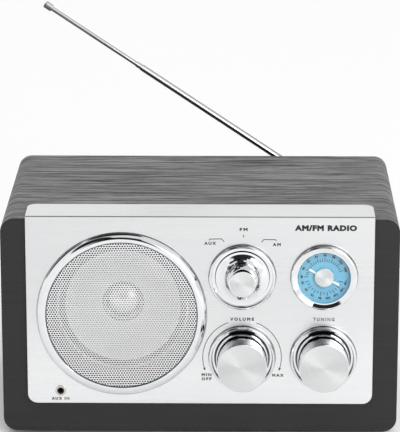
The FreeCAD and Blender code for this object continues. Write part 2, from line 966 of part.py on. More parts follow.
def tuning_capacitor():
    """The sealed variable capacitor behind the plate, with its shaft bush."""
    half = capacitor_size / 2
    can = block(
        right_column_x - half, right_column_x + half, plate_back, plate_back + capacitor_depth,
        upper_z - half, upper_z + half,
    )
    bush = disc(
        right_column_x, upper_z, boss_radius, plate_front - capacitor_bush_length, plate_back,
    )
    bore = disc(
        right_column_x, upper_z, shaft_radius + running_gap,
        plate_front - capacitor_bush_length, plate_back + shaft_depth_in_body + face_gap,
    )
    return can.fuse(bush).removeSplitter().cut(bore)


def control_plate():
    """The steel plate on posts behind the baffle, carrying every control."""
    plate = block(
        plate_left, plate_right, plate_front, plate_back,
        under_z + plate_low, under_z + plate_high,
    )
    holes = [
        disc(left_column_x, upper_z, control_bush_radius, plate_front, plate_back),
        disc(left_column_x, lower_z, control_bush_radius, plate_front, plate_back),
        disc(right_column_x, lower_z, tuning_bush_radius, plate_front, plate_back),
        disc(right_column_x, upper_z, boss_radius, plate_front, plate_back),
        disc(idler_x, idler_z, idler_stud_radius, plate_front, plate_back),
    ]
    holes += [screw_hole(x, y, z, forward) for x, y, z in plate_screw_points()]
    return cut_all(plate, holes)


# ---------------------------------------------------------------- posts, boards and power

def standoffs():
    solids = []
    for x, y, z in plate_screw_points():
        solids.append(disc(x, z, post_radius, baffle_back, plate_front).cut(screw_hole(x, y, z, forward)))
    for x, y, z in board_screw_points():
        low = inside_floor
        solids.append(post(x, y, post_radius, low, low + post_length).cut(screw_hole(x, y, z, down)))
    return Part.makeCompound(solids)


def inner_screws():
    solids = [screw(x, y, z, forward) for x, y, z in speaker_screw_points() + plate_screw_points()]
    solids += [screw(x, y, z, down) for x, y, z in board_screw_points() + transformer_screw_points()]
    return Part.makeCompound(solids)


def main_board():
    board = block(
        board_left, board_right, board_front, board_back, board_top - board_thick, board_top,
    )
    return cut_all(board, [screw_hole(x, y, z, down) for x, y, z in board_screw_points()])


def board_components():
    """Filter capacitors, coil cans, the amplifier chip on its heat sink and a lead header."""
    solids = []
    for place in range(filter_count):
        x = filter_x + filter_pitch * place
        solids.append(post(x, filter_y, filter_radius, board_top, board_top + filter_height))
    for place in range(coil_count):
        solids.append(block(
            coil_x + coil_pitch * place - coil_half, coil_x + coil_pitch * place + coil_half,
            coil_y - coil_half, coil_y + coil_half, board_top, board_top + coil_height,
        ))
    solids.append(block(
        sink_x - sink_half_width, sink_x + sink_half_width,
        sink_y - sink_half_thick, sink_y + sink_half_thick, board_top, board_top + sink_height,
    ))
    solids.append(block(
        sink_x - chip_half_width, sink_x + chip_half_width,
        sink_y - sink_half_thick - chip_thick, sink_y - sink_half_thick,
        board_top + chip_low, board_top + chip_high,
    ))
    solids.append(block(
        header_x - header_half_width, header_x + header_half_width,
        header_y - header_half_depth, header_y + header_half_depth,
        board_top, board_top + header_height,
    ))
    return Part.makeCompound(solids)


def transformer():
    """A small mains transformer: laminated core, winding bobbin and a strap with two tabs."""
    low = inside_floor
    core = block(
        transformer_x - transformer_half, transformer_x + transformer_half,
        transformer_y - core_half_depth, transformer_y + core_half_depth, low, low + core_height,
    )
    winding = block(
        transformer_x - transformer_half + core_leg, transformer_x + transformer_half - core_leg,
        transformer_y - winding_half_depth, transformer_y + winding_half_depth,
        low + core_leg, low + core_height - core_leg,
    )
    strap = block(
        transformer_x - transformer_half - transformer_tab_reach,
        transformer_x + transformer_half + transformer_tab_reach,
        transformer_y - strap_half_depth, transformer_y + strap_half_depth,
        low, low + transformer_tab,
    )
    solid = core.fuse([winding, strap]).removeSplitter()
    return cut_all(solid, [screw_hole(x, y, z, down) for x, y, z in transformer_screw_points()])


def ferrite_rod():
    return Part.makeCylinder(
        ferrite_radius, 2 * ferrite_half,
        Vector(ferrite_x - ferrite_half, ferrite_y, ferrite_z), Vector(1, 0, 0),
    )


def ferrite_winding():
    start = Vector(ferrite_x - ferrite_winding_half, ferrite_y, ferrite_z)
    length = 2 * ferrite_winding_half
    outer = Part.makeCylinder(ferrite_radius + ferrite_winding_thick, length, start, Vector(1, 0, 0))
    return outer.cut(Part.makeCylinder(ferrite_radius, length, start, Vector(1, 0, 0)))


def ferrite_holders():
    """Two hangers from the cabinet's top that grip the rod near its ends."""
    solids = []
    for side in (-1, 1):
        left = ferrite_x + side * (ferrite_half - hanger_inset) - hanger_half_width
        width = 2 * hanger_half_width
        hanger = block(
            left, left + width, ferrite_y - hanger_half, ferrite_y + hanger_half,
            ferrite_z - hanger_half, inside_top,
        )
        start = Vector(left, ferrite_y, ferrite_z)
        hole = Part.makeCylinder(ferrite_radius, width, start, Vector(1, 0, 0))
        solids.append(hanger.cut(hole))
    return Part.makeCompound(solids)


# ---------------------------------------------------------------- socket on the front

def aux_jack():
    """The audio socket: a moulded body behind the panel and a barrel through it."""
    body = block(
        jack_x - jack_half, jack_x + jack_half, front_y, front_y + jack_depth,
        jack_z - jack_half, jack_z + jack_half,
    )
    barrel = disc(jack_x, jack_z, jack_barrel_radius, panel_front, front_y)
    bore = disc(jack_x, jack_z, jack_bore_radius, panel_front, front_y + jack_depth - jack_end_wall)
    return body.fuse(barrel).removeSplitter().cut(bore)


def aux_ring():
    front = panel_front - jack_ring_rise
    eyelet = ring(jack_x, jack_z, jack_ring_radius, jack_barrel_radius, front, panel_front)
    return eyelet.makeFillet(jack_ring_round, circle_edges(eyelet, jack_ring_radius, front))


# ---------------------------------------------------------------- back

def back_cover():
    cover = rounded_prism(
        inside_half - cover_gap, inside_floor + cover_gap, inside_top - cover_gap,
        back_y - cover_thick, back_y, inner_radius,
    )
    tools = [screw_hole(x, y, z, forward) for x, y, z in cover_screw_points()]
    first = speaker_z - vent_pitch * (vent_count - 1) / 2
    for row in range(vent_count):
        z = first + vent_pitch * row
        tools.append(block(
            -vent_width / 2, vent_width / 2, back_y - cover_thick, back_y,
            z - vent_height / 2, z + vent_height / 2,
        ))
    tools.append(block(
        inlet_x - inlet_width / 2 - fit_gap, inlet_x + inlet_width / 2 + fit_gap,
        back_y - cover_thick, back_y,
        under_z + inlet_up - inlet_height / 2 - fit_gap, under_z + inlet_up + inlet_height / 2 + fit_gap,
    ))
    tools.append(disc(antenna_x, antenna_z, stem_nut_radius + face_gap, back_y - cover_thick, back_y))
    return cut_all(cover, tools)


def back_blocks():
    """Wooden blocks in the corners that take the cover's screws."""
    solids = []
    for x, y, z in cover_screw_points():
        half = block_size / 2
        piece = block(
            x - half, x + half, back_y - cover_thick - block_depth, back_y - cover_thick,
            z - half, z + half,
        )
        solids.append(piece.cut(screw_hole(x, y, z, forward)))
    return Part.makeCompound(solids)


def back_screws():
    return Part.makeCompound([screw(x, y, z, forward) for x, y, z in cover_screw_points()])


def mains_inlet():
    """A two-pin figure-eight inlet through the back cover, with no cord."""
    z = under_z + inlet_up
    body = block(
        inlet_x - inlet_width / 2, inlet_x + inlet_width / 2,
        back_y - inlet_depth, back_y, z - inlet_height / 2, z + inlet_height / 2,
    )
    lip = inlet_lip
    flange = block(
        inlet_x - inlet_width / 2 - lip, inlet_x + inlet_width / 2 + lip,
        back_y, back_y + inlet_flange, z - inlet_height / 2 - lip, z + inlet_height / 2 + lip,
    )
    mouth = back_y + inlet_flange
    socket = block(
        inlet_x - (socket_width - socket_height) / 2, inlet_x + (socket_width - socket_height) / 2,
        mouth - socket_depth, mouth, z - socket_height / 2, z + socket_height / 2,
    )
    for side in (-1, 1):
        end = inlet_x + side * (socket_width - socket_height) / 2
        socket = socket.fuse(disc(end, z, socket_height / 2, mouth - socket_depth, mouth))
    shape = body.fuse(flange).removeSplitter().cut(socket.removeSplitter())
    for side in (-1, 1):
        pin_x = inlet_x + side * socket_pin_spacing / 2
        bottom = mouth - socket_depth
        shape = shape.fuse(disc(
            pin_x, z, socket_pin_radius, bottom - socket_pin_root, bottom + socket_pin_length,
        ))
    return shape.removeSplitter()


# ---------------------------------------------------------------- leads

def lead(points, radius):
    """A round lead of straight runs joined by tangent arcs."""
    edges = []
    start = points[0]
    for before, corner, after in zip(points, points[1:], points[2:]):
        into = (corner - before).normalize()
        out = (after - corner).normalize()
        turn = into.getAngle(out)
        reach = lead_bend * math.tan(turn / 2)
        first = corner - into * reach
        last = corner + out * reach
        bisector = (out - into).normalize()
        middle = corner + bisector * (lead_bend / math.cos(turn / 2) - lead_bend)
        edges.append(Part.makeLine(start, first))
        edges.append(Part.Arc(first, middle, last).toShape())
        start = last
    edges.append(Part.makeLine(start, points[-1]))
    path = Part.Wire(edges)
    circle = Part.Wire(Part.makeCircle(radius, points[0], points[1] - points[0]))
    return path.makePipeShell([circle], True, False)


def speaker_leads():
    """Two leads from the speaker's magnet plate tags down to the board's header."""
    rear = baffle_back + basket_depth + magnet_depth
    solids = []
    for place in range(2):
        x = speaker_x + lead_start_x + lead_pitch * place
        pin_x = header_x - lead_pitch + lead_pitch * place
        z = speaker_z - lead_start_drop
        route = [
            Vector(x, rear, z),
            Vector(x, header_y, z),
            Vector(pin_x, header_y, z - lead_slope_drop),
            Vector(pin_x, header_y, board_top + header_height),
        ]
        solids.append(lead(route, lead_radius))
    return Part.makeCompound(solids)


# ---------------------------------------------------------------- antenna

def stand_antenna(shape):
    """Turn a piece drawn along +X from the tilt pin into its place behind the cabinet."""
    shape.rotate(Vector(0, 0, 0), forward, antenna_angle)
    shape.translate(Vector(antenna_x, back_y + antenna_axis_back, antenna_z))
    return shape


def bar_x(radius, x0, x1):
    return Part.makeCylinder(radius, x1 - x0, Vector(x0, 0, 0), Vector(1, 0, 0))


def antenna_bracket():
    """The plate on the back cover that the antenna swivels in."""
    half = bracket_half
    plate = block(
        antenna_x - half, antenna_x + half, back_y, back_y + bracket_thick,
        antenna_z - half, antenna_z + half,
    )
    corners = [edge for edge in plate.Edges if along(edge, Vector(0, 1, 0))]
    plate = plate.makeFillet(bracket_corner, corners)
    return plate.cut(disc(
        antenna_x, antenna_z, swivel_stem_radius + running_gap, back_y, back_y + bracket_thick,
    ))


def antenna_base():
    """The swivel: a stem and nut through the bracket, a round foot, two fork ears and their rivet."""
    foot_low = bracket_thick + face_gap - antenna_axis_back
    foot_high = foot_low + swivel_foot
    stem = swivel_bar(swivel_stem_radius, -antenna_axis_back - stem_nut_back, foot_low)
    nut = swivel_bar(
        stem_nut_radius, -antenna_axis_back - stem_nut_back, -antenna_axis_back - face_gap,
    )
    foot = swivel_bar(swivel_radius, foot_low, foot_high)
    base = stem.fuse([nut, foot])
    ear_top = antenna_reach - antenna_axis_back
    for side in (-1, 1):
        inner = side * (tongue_thick / 2 + fit_gap)
        outer = inner + side * ear_thick
        low, high = sorted((inner, outer))
        root = block(-ear_top, ear_top, foot_high - ear_root, 0, low, high)
        crown = Part.makeCylinder(ear_top, ear_thick, Vector(0, 0, low), Vector(0, 0, 1))
        base = base.fuse([root, crown])
    reach = tongue_thick / 2 + fit_gap + ear_thick
    rivet = Part.makeCylinder(hinge_pin_radius, 2 * reach, Vector(0, 0, -reach), Vector(0, 0, 1))
    return stand_antenna(base.fuse(rivet).removeSplitter())


def swivel_bar(radius, y0, y1):
    return Part.makeCylinder(radius, y1 - y0, Vector(0, y0, 0), Vector(0, 1, 0))


def antenna_foot():
    """The flat tongue on the pin, with the collar and spigot that hold the outer tube."""
    half = tongue_thick / 2
    eye = Part.makeCylinder(tongue_radius, tongue_thick, Vector(0, 0, -half), Vector(0, 0, 1))
    neck = block(0, collar_start, -tongue_neck, tongue_neck, -half, half)
    collar = bar_x(collar_radius, collar_start, outer_tube_start)
    spigot = bar_x(
        outer_tube_radius - tube_wall, outer_tube_start, outer_tube_start + collar_spigot,
    )
    hole = Part.makeCylinder(
        hinge_pin_radius + running_gap, tongue_thick, Vector(0, 0, -half), Vector(0, 0, 1),
    )
    return stand_antenna(eye.fuse([neck, collar, spigot]).removeSplitter().cut(hole))


def antenna_outer_tube():
    tube = bar_x(outer_tube_radius, outer_tube_start, outer_tube_end)
    bore = bar_x(outer_tube_radius - tube_wall, outer_tube_start, outer_tube_end)
    return stand_antenna(tube.cut(bore))


def antenna_middle_tube():
    end = outer_tube_end + middle_tube_out
    start = end - middle_tube_length
    tube = bar_x(middle_radius, start, end)
    return stand_antenna(tube.cut(bar_x(middle_radius - tube_wall, start, end)))


def antenna_rod():
    start = rod_end - rod_length
    tube = bar_x(rod_radius, start, rod_end)
    return stand_antenna(tube.cut(bar_x(rod_radius - tube_wall, start, rod_end)))


def antenna_tip():
    """The round-ended cap, with a spigot pressed into the rod."""
    cap = bar_x(tip_radius, rod_end, rod_end + tip_length)
    far = [edge for edge in cap.Edges if edge.BoundBox.XMin > rod_end + tip_length - 1e-4]
    cap = cap.makeFillet(tip_round, far)
    spigot = bar_x(rod_radius - tube_wall, rod_end - collar_spigot, rod_end)
    return stand_antenna(cap.fuse(spigot).removeSplitter())


nodes = {
    "cabinet_shell": cabinet_shell(),
    "front_sheet": front_sheet(),
    "front_baffle": front_baffle(),
    "front_panel": front_panel(),
    "feet": feet(),
    "speaker_bezel": speaker_bezel(),
    "speaker_grille": speaker_grille(),
    "speaker_basket": speaker_basket(),
    "speaker_surround": speaker_surround(),
    "speaker_cone": speaker_cone(),
    "speaker_dust_cap": speaker_dust_cap(),
    "speaker_magnet": speaker_magnet(),
    "speaker_leads": speaker_leads(),
    "selector_bezel": dished_bezel(left_column_x, upper_z),
    "volume_bezel": dished_bezel(left_column_x, lower_z),
    "tuning_bezel": dished_bezel(right_column_x, lower_z),
    "dial_bezel": dial_bezel(),
    "dial_lens": dial_lens(),
    "dial_plate": dial_plate(),
    "control_plate": control_plate(),
    "standoffs": standoffs(),
    "inner_screws": inner_screws(),
    "tuning_bush": tuning_bush(),
    "idler_stud": idler_stud(),
    "volume_control": control_body(lower_z, pot_radius, pot_depth),
    "selector_switch": control_body(upper_z, switch_radius, switch_depth),
    "tuning_capacitor": tuning_capacitor(),
    "main_board": main_board(),
    "board_components": board_components(),
    "transformer": transformer(),
    "ferrite_rod": ferrite_rod(),
    "ferrite_winding": ferrite_winding(),
    "ferrite_holders": ferrite_holders(),
    "aux_jack": aux_jack(),
    "aux_ring": aux_ring(),
    "back_cover": back_cover(),
    "back_blocks": back_blocks(),
    "back_screws": back_screws(),
    "mains_inlet": mains_inlet(),
    "antenna_bracket": antenna_bracket(),
    "volume_knob": tall_knob(left_column_x),
    "volume_knob_face": tall_knob_face(left_column_x),
    "volume_shaft": control_shaft(lower_z, knob_face_y),
    "tuning_knob": tall_knob(right_column_x),
    "tuning_knob_face": tall_knob_face(right_column_x),
    "tuning_shaft": tuning_shaft(),
    "idler_gear": idler_gear(),
    "dial_gear": dial_gear(),
    "capacitor_shaft": capacitor_shaft(),
    "pointer_bar": pointer_bar(),
    "pointer_hub": pointer_hub(),
    "selector_knob": selector_knob(),
    "selector_knob_face": selector_face(),
    "selector_shaft": control_shaft(upper_z, selector_face_y),
    "antenna_base": antenna_base(),
    "antenna_foot": antenna_foot(),
    "antenna_outer_tube": antenna_outer_tube(),
    "antenna_middle_tube": antenna_middle_tube(),
    "antenna_rod": antenna_rod(),
    "antenna_tip": antenna_tip(),
}

os.makedirs("parts", exist_ok=True)
for name, shape in nodes.items():
    shape.exportStep("parts/" + name + ".step")
print(len(nodes), "nodes")
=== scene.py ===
# Tabletop radio: its finishes, printed marks, perforated grille and small turned parts,
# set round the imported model, with a plain studio to look at it in.
import math
import bmesh
import bpy
from mathutils import Matrix, Vector


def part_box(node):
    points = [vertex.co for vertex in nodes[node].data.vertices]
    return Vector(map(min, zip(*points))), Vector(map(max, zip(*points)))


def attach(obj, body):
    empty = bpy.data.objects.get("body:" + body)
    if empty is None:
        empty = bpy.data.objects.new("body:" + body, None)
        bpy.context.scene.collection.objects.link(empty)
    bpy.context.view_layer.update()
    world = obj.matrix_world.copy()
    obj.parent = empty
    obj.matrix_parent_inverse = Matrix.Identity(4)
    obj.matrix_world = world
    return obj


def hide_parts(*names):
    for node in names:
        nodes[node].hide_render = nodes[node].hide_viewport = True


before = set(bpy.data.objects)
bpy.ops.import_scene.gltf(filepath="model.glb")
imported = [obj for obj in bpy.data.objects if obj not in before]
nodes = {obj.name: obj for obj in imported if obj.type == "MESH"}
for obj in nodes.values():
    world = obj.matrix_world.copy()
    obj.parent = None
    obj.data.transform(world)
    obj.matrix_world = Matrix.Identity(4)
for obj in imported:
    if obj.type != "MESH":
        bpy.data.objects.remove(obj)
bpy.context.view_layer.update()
mm = 0.001
print("frame loaded:", len(nodes), "nodes")


def middleOf(name):
    low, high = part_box(name)
    return (low + high) / 2


panelLow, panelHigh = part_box("front_panel")
shellLow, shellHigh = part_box("cabinet_shell")
panelFace = panelLow.y
cabinetBase = shellLow.z
speakerSpot = middleOf("speaker_bezel")
selectorSpot = middleOf("selector_bezel")
volumeSpot = middleOf("volume_bezel")
tuningSpot = middleOf("tuning_bezel")
dialSpot = middleOf("dial_bezel")


cameraValues = {
    "place": (21.12, -1856.24, 668.29),  # mm
    "tilt": 74.11,
    "turn": 0.68,
    "lens": 220.57,
    "sensor": 36,
    "clip": (0.05, 30),
}
camera = bpy.data.objects.new("LookingCamera", bpy.data.cameras.new("LookingCamera"))
bpy.context.scene.collection.objects.link(camera)
camera.location = Vector(cameraValues["place"]) * mm
camera.rotation_euler = (math.radians(cameraValues["tilt"]), 0, math.radians(cameraValues["turn"]))
camera.data.sensor_width = cameraValues["sensor"]
camera.data.sensor_fit = "AUTO"
camera.data.lens = cameraValues["lens"]
camera.data.clip_start, camera.data.clip_end = cameraValues["clip"]
camera.data.dof.use_dof = False
bpy.context.scene.camera = camera
bpy.context.scene.view_settings.view_transform = "Standard"


def addNode(tree, kind, ins=None, **settings):
    # a node with its inputs linked or set
    node = tree.nodes.new(kind)
    for key, value in settings.items():
        setattr(node, key, value)
    for key, value in (ins or {}).items():
        if isinstance(value, bpy.types.NodeSocket):
            tree.links.new(value, node.inputs[key])
        else:
            node.inputs[key].default_value = value
    return node


def sumUp(tree, operation, first, second=0.0, third=0.0):
    ins = {0: first, 1: second, 2: third}
    return addNode(tree, "ShaderNodeMath", ins, operation=operation).outputs[0]


def remap(tree, value, low, high, toLow=0.0, toHigh=1.0, smooth=False):
    node = addNode(
        tree, "ShaderNodeMapRange",
        {"Value": value, "From Min": low, "From Max": high, "To Min": toLow, "To Max": toHigh},
        interpolation_type="SMOOTHSTEP" if smooth else "LINEAR",
    )
    return node.outputs[0]


def blendColour(tree, share, first, second, mode="MIX"):
    node = addNode(tree, "ShaderNodeMix", data_type="RGBA", blend_type=mode)
    for place, value in ((0, share), (6, first), (7, second)):
        if isinstance(value, bpy.types.NodeSocket):
            tree.links.new(value, node.inputs[place])
        elif place:
            node.inputs[place].default_value = (*value, 1)
        else:
            node.inputs[place].default_value = value
    return node.outputs[2]


studioValues = {
    "tent": (1.03, 0.86),  # low down and high up
    "tentHeights": (22, 45),
    "openingLeft": (15.5, 18),  # degrees left of the front, full and gone
    "openingRight": (14.5, 16.5),
    "openingLow": (2, 4),
    "openingHigh": (41, 44),
    "openingDark": 0.02,
    # gaps in the tent: where they are, their half angles, full and gone, and how dark
    "gaps": (
        ((-0.14, -0.12, 0.98), 24, 27, 0.03),
        ((-0.86, -0.04, 0.52), 20, 23, 0.04),
        ((-0.40, -0.69, 0.60), 14, 17, 0.03),
        ((0.90, -0.05, 0.42), 9, 12, 0.06),
    ),
}


def makeStudio():
    # a white tent with a dark opening in front and a few dark gaps
    world = bpy.data.worlds.new("Studio")
    bpy.context.scene.world = world
    world.use_nodes = True
    tree = world.node_tree
    tree.nodes.clear()
    way = addNode(tree, "ShaderNodeTexCoord").outputs["Generated"]
    way = addNode(tree, "ShaderNodeVectorMath", {0: way}, operation="NORMALIZE").outputs[0]
    parts = addNode(tree, "ShaderNodeSeparateXYZ", {0: way}).outputs
    height = sumUp(tree, "ARCSINE", parts[2])
    ahead = sumUp(tree, "ARCTAN2", parts[0], sumUp(tree, "MULTIPLY", parts[1], -1.0))
    left, right, low, high = (
        [math.radians(angle) for angle in studioValues[key]]
        for key in ("openingLeft", "openingRight", "openingLow", "openingHigh")
    )
    opening = remap(tree, ahead, right[0], right[1], 1.0, 0.0, True)
    opening = sumUp(tree, "MULTIPLY", opening, remap(tree, ahead, -left[1], -left[0], 0.0, 1.0, True))
    opening = sumUp(tree, "MULTIPLY", opening, remap(tree, height, low[0], low[1], 0.0, 1.0, True))
    opening = sumUp(tree, "MULTIPLY", opening, remap(tree, height, high[0], high[1], 1.0, 0.0, True))
    climb = [math.radians(angle) for angle in studioValues["tentHeights"]]
    tent = remap(tree, height, *climb, *studioValues["tent"], True)
    light = sumUp(tree, "MULTIPLY", tent, remap(tree, opening, 0, 1, 1.0, studioValues["openingDark"]))
    for aim, full, gone, dark in studioValues["gaps"]:
        toward = addNode(
            tree, "ShaderNodeVectorMath", {0: way, 1: Vector(aim).normalized()}, operation="DOT_PRODUCT",
        ).outputs["Value"]
        edges = [math.cos(math.radians(angle)) for angle in (gone, full)]
        light = sumUp(tree, "MULTIPLY", light, remap(tree, toward, *edges, 1.0, dark, True))
    glow = addNode(tree, "ShaderNodeBackground", {"Color": (1, 1, 1, 1), "Strength": light})
    addNode(tree, "ShaderNodeOutputWorld", {0: glow.outputs[0]})


makeStudio()

lampAim = Vector((0, 0, 0.08))
lampValues = {
    # size is a side in metres, or a sun's spread in degrees
    "KeyLamp": {
        "kind": "AREA", "place": (0.70, -1.20, 0.464), "power": 4.6, "size": 0.62, "mirrored": True,
    },
    "SkyLamp": {
        "kind": "SUN", "place": (0.20, -1.10, 1.60), "power": 1.68, "size": 60, "mirrored": False,
    },
}
for lampName, values in lampValues.items():
    lamp = bpy.data.lights.new(lampName, values["kind"])
    lamp.energy = values["power"]
    if values["kind"] == "AREA":
        lamp.shape = "SQUARE"
        lamp.size = values["size"]
    else:
        lamp.angle = math.radians(values["size"])
    holder = bpy.data.objects.new(lampName, lamp)
    bpy.context.scene.collection.objects.link(holder)
    holder.location = values["place"]
    holder.visible_glossy = values["mirrored"]
    holder.rotation_euler = (lampAim - holder.location).to_track_quat("-Z", "Y").to_euler()
print("camera and studio set")


def joined(*shapes):
    # several (points, faces) shapes as one
    points, faces = [], []
    for morePoints, moreFaces in shapes:
        start = len(points)
        points += morePoints
        faces += [tuple(corner + start for corner in face) for face in moreFaces]
    return points, faces


def moved(shape, matrix):
    return [matrix @ Vector(point) for point in shape[0]], shape[1]


def turned(origin, axis, outline, segments):
    # a closed outline of (radius, distance along the axis) spun round the axis
    axis = Vector(axis).normalized()
    side = axis.orthogonal().normalized()
    other = axis.cross(side)
    points = []
    for radius, along in outline:
        middle = Vector(origin) + axis * along
        for step in range(segments):
            angle = 2 * math.pi * step / segments
            points.append(middle + (side * math.cos(angle) + other * math.sin(angle)) * radius)
    rings = [range(start, start + segments) for start in range(0, len(points), segments)]
    faces = []
    for near, far in zip(rings, rings[1:] + rings[:1]):
        for step in range(segments):
            after = (step + 1) % segments
            faces.append((near[step], near[after], far[after], far[step]))
    return points, faces


def slab(outline, front, back):
    # a flat shape given by (x, z) points, from y front to y back
    count = len(outline)
    points = [Vector((x, front, z)) for x, z in outline] + [Vector((x, back, z)) for x, z in outline]
    faces = [tuple(range(count)), tuple(range(2 * count - 1, count - 1, -1))]
    for place in range(count):
        after = (place + 1) % count
        faces.append((place, after, after + count, place + count))
    return points, faces


def arcBand(middle, radius, width, start, end, steps=40):
    # the outline of a thin curved stroke; angles in degrees from +X towards +Z
    outer, inner = [], []
    for step in range(steps + 1):
        angle = math.radians(start + (end - start) * step / steps)
        for line, reach in ((outer, radius + width / 2), (inner, radius - width / 2)):
            line.append((middle[0] + reach * math.cos(angle), middle[1] + reach * math.sin(angle)))
    return outer + inner[::-1]


def stroke(start, end, width):
    start, end = Vector(start), Vector(end)
    across = (end - start).orthogonal().normalized() * width / 2
    return [tuple(spot) for spot in (start + across, end + across, end - across, start - across)]


def thicken(made, amount):
    # pushes the outline of raised lettering outwards, so that it prints bolder
    walls = {}
    for face in made.polygons:
        if abs(face.normal.z) > 0.5:
            continue
        for place in face.vertices:
            spot = made.vertices[place].co
            sides = walls.setdefault((round(spot.x, 4), round(spot.y, 4)), {})
            sides[(round(face.normal.x, 2), round(face.normal.y, 2))] = Vector(face.normal[:2])
    for vert in made.vertices:
        sides = walls.get((round(vert.co.x, 4), round(vert.co.y, 4)))
        if not sides:
            continue
        way = sum(sides.values(), Vector((0, 0))) / len(sides)
        push = way / max(0.35, way.length_squared) * amount
        vert.co.x += push.x
        vert.co.y += push.y


def word(text, left, right, low, high, front, thick, bold=0.0, spacing=1.0):
    # lettering that fills the box left..right, low..high on the plane y = front
    curve = bpy.data.curves.new("word", "FONT")
    curve.body = text
    curve.space_character = spacing
    curve.resolution_u = 4
    curve.extrude = 0.5
    holder = bpy.data.objects.new("word", curve)
    bpy.context.scene.collection.objects.link(holder)
    evaluated = holder.evaluated_get(bpy.context.evaluated_depsgraph_get())
    made = bpy.data.meshes.new_from_object(evaluated)
    thicken(made, bold)
    xs = [vert.co.x for vert in made.vertices]
    ys = [vert.co.y for vert in made.vertices]
    wide = (right - left) / (max(xs) - min(xs))
    tall = (high - low) / (max(ys) - min(ys))
    points = [
        Vector((
            left + (vert.co.x - min(xs)) * wide,
            front - (vert.co.z - 0.5) * thick,
            low + (vert.co.y - min(ys)) * tall,
        ))
        for vert in made.vertices
    ]
    faces = [tuple(face.vertices) for face in made.polygons]
    bpy.data.objects.remove(holder)
    bpy.data.curves.remove(curve)
    bpy.data.meshes.remove(made)
    return points, faces


def addPiece(name, shape, body, finish, replaced=(), sharpAngle=32, welded=False):
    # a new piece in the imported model's frame, riding on one of its bodies
    data = bpy.data.meshes.new(name)
    data.from_pydata([tuple(point) for point in shape[0]], [], shape[1])
    if not welded:
        work = bmesh.new()
        work.from_mesh(data)
        bmesh.ops.remove_doubles(work, verts=work.verts, dist=1e-7)
        bmesh.ops.recalc_face_normals(work, faces=work.faces)
        work.to_mesh(data)
        work.free()
    data.shade_smooth()
    data.set_sharp_from_angle(angle=math.radians(sharpAngle))
    data.materials.append(finish)
    piece = bpy.data.objects.new(name, data)
    bpy.context.scene.collection.objects.link(piece)
    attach(piece, body)
    if replaced:
        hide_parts(*replaced)
    return piece


def startFinish(name, **values):
    # a material with one Principled shader; returns it with its tree, shader and position
    finish = bpy.data.materials.new(name)
    finish.use_nodes = True
    tree = finish.node_tree
    shader = tree.nodes["Principled BSDF"]
    for key, value in values.items():
        socket = shader.inputs[key.replace("_", " ")]
        socket.default_value = (*value, 1) if isinstance(value, tuple) else value
    spot = addNode(tree, "ShaderNodeTexCoord").outputs["Object"]
    return finish, tree, shader, spot


def stretched(tree, spot, scale, turn=(0, 0, 0)):
    return addNode(
        tree, "ShaderNodeMapping", {"Vector": spot, "Scale": scale, "Rotation": turn},
    ).outputs[0]


def mottle(tree, spot, scale=1.0, detail=3.0, roughness=0.5, distortion=0.0):
    return addNode(tree, "ShaderNodeTexNoise", {
        "Vector": spot, "Scale": scale, "Detail": detail,
        "Roughness": roughness, "Distortion": distortion,
    }).outputs[0]


def raised(tree, height, strength, distance):
    ins = {"Height": height, "Strength": strength, "Distance": distance}
    return addNode(tree, "ShaderNodeBump", ins).outputs[0]


def dress(tree, shader, colour, rough, normal):
    for name, value in (("Base Color", colour), ("Roughness", rough), ("Normal", normal)):
        tree.links.new(value, shader.inputs[name])


def awayFrom(tree, x, z, middle):
    # distance in the front's plane from one of the round parts' middles
    outX = sumUp(tree, "SUBTRACT", x, middle.x)
    outZ = sumUp(tree, "SUBTRACT", z, middle.z)
    return sumUp(tree, "SQRT", sumUp(
        tree, "ADD", sumUp(tree, "MULTIPLY", outX, outX), sumUp(tree, "MULTIPLY", outZ, outZ),
    ))


def paint(finish, *names):
    for name in names:
        for place in nodes[name].material_slots:
            place.material = finish


def tinted(colour, amount):
    return tuple(min(1.0, part * amount) for part in colour)


roughVary = 0.08


def simpleFinish(name, colour, rough, metal, grain, bumpy, vary, **more):
    # moulded, cast or drawn stuff: mottled colour, uneven gloss and a fine skin
    finish, tree, shader, spot = startFinish(name, Metallic=metal, **more)
    broad = mottle(tree, spot, 45, 4, 0.55)
    fine = mottle(tree, spot, grain, 3, 0.6)
    shade = remap(tree, broad, 0.3, 0.7)
    colourOut = blendColour(tree, shade, tinted(colour, 1 - vary), tinted(colour, 1 + vary))
    mixed = sumUp(tree, "ADD", sumUp(tree, "MULTIPLY", broad, 0.6), sumUp(tree, "MULTIPLY", fine, 0.4))
    roughOut = remap(tree, mixed, 0.3, 0.7, rough - roughVary, rough + roughVary)
    dress(tree, shader, colourOut, roughOut, raised(tree, fine, bumpy, 0.2 * mm))
    return finish


woodValues = {
    "dark": (0.012, 0.012, 0.013),
    "light": (0.220, 0.220, 0.225),
    "bandPitch": 2.7 * mm,  # distance across the grain between the bolder lines
    "wander": 2.2,  # how many pitches the lines drift
    "rough": (0.46, 0.66),
    "depth": 0.35 * mm,
    "frontEdgePale": (0.12, 0.12, 0.12),  # a lighter colour painted in patches along the front edge
    "cutDark": (0.010, 0.010, 0.010),
    "cutLight": (0.026, 0.025, 0.024),
}


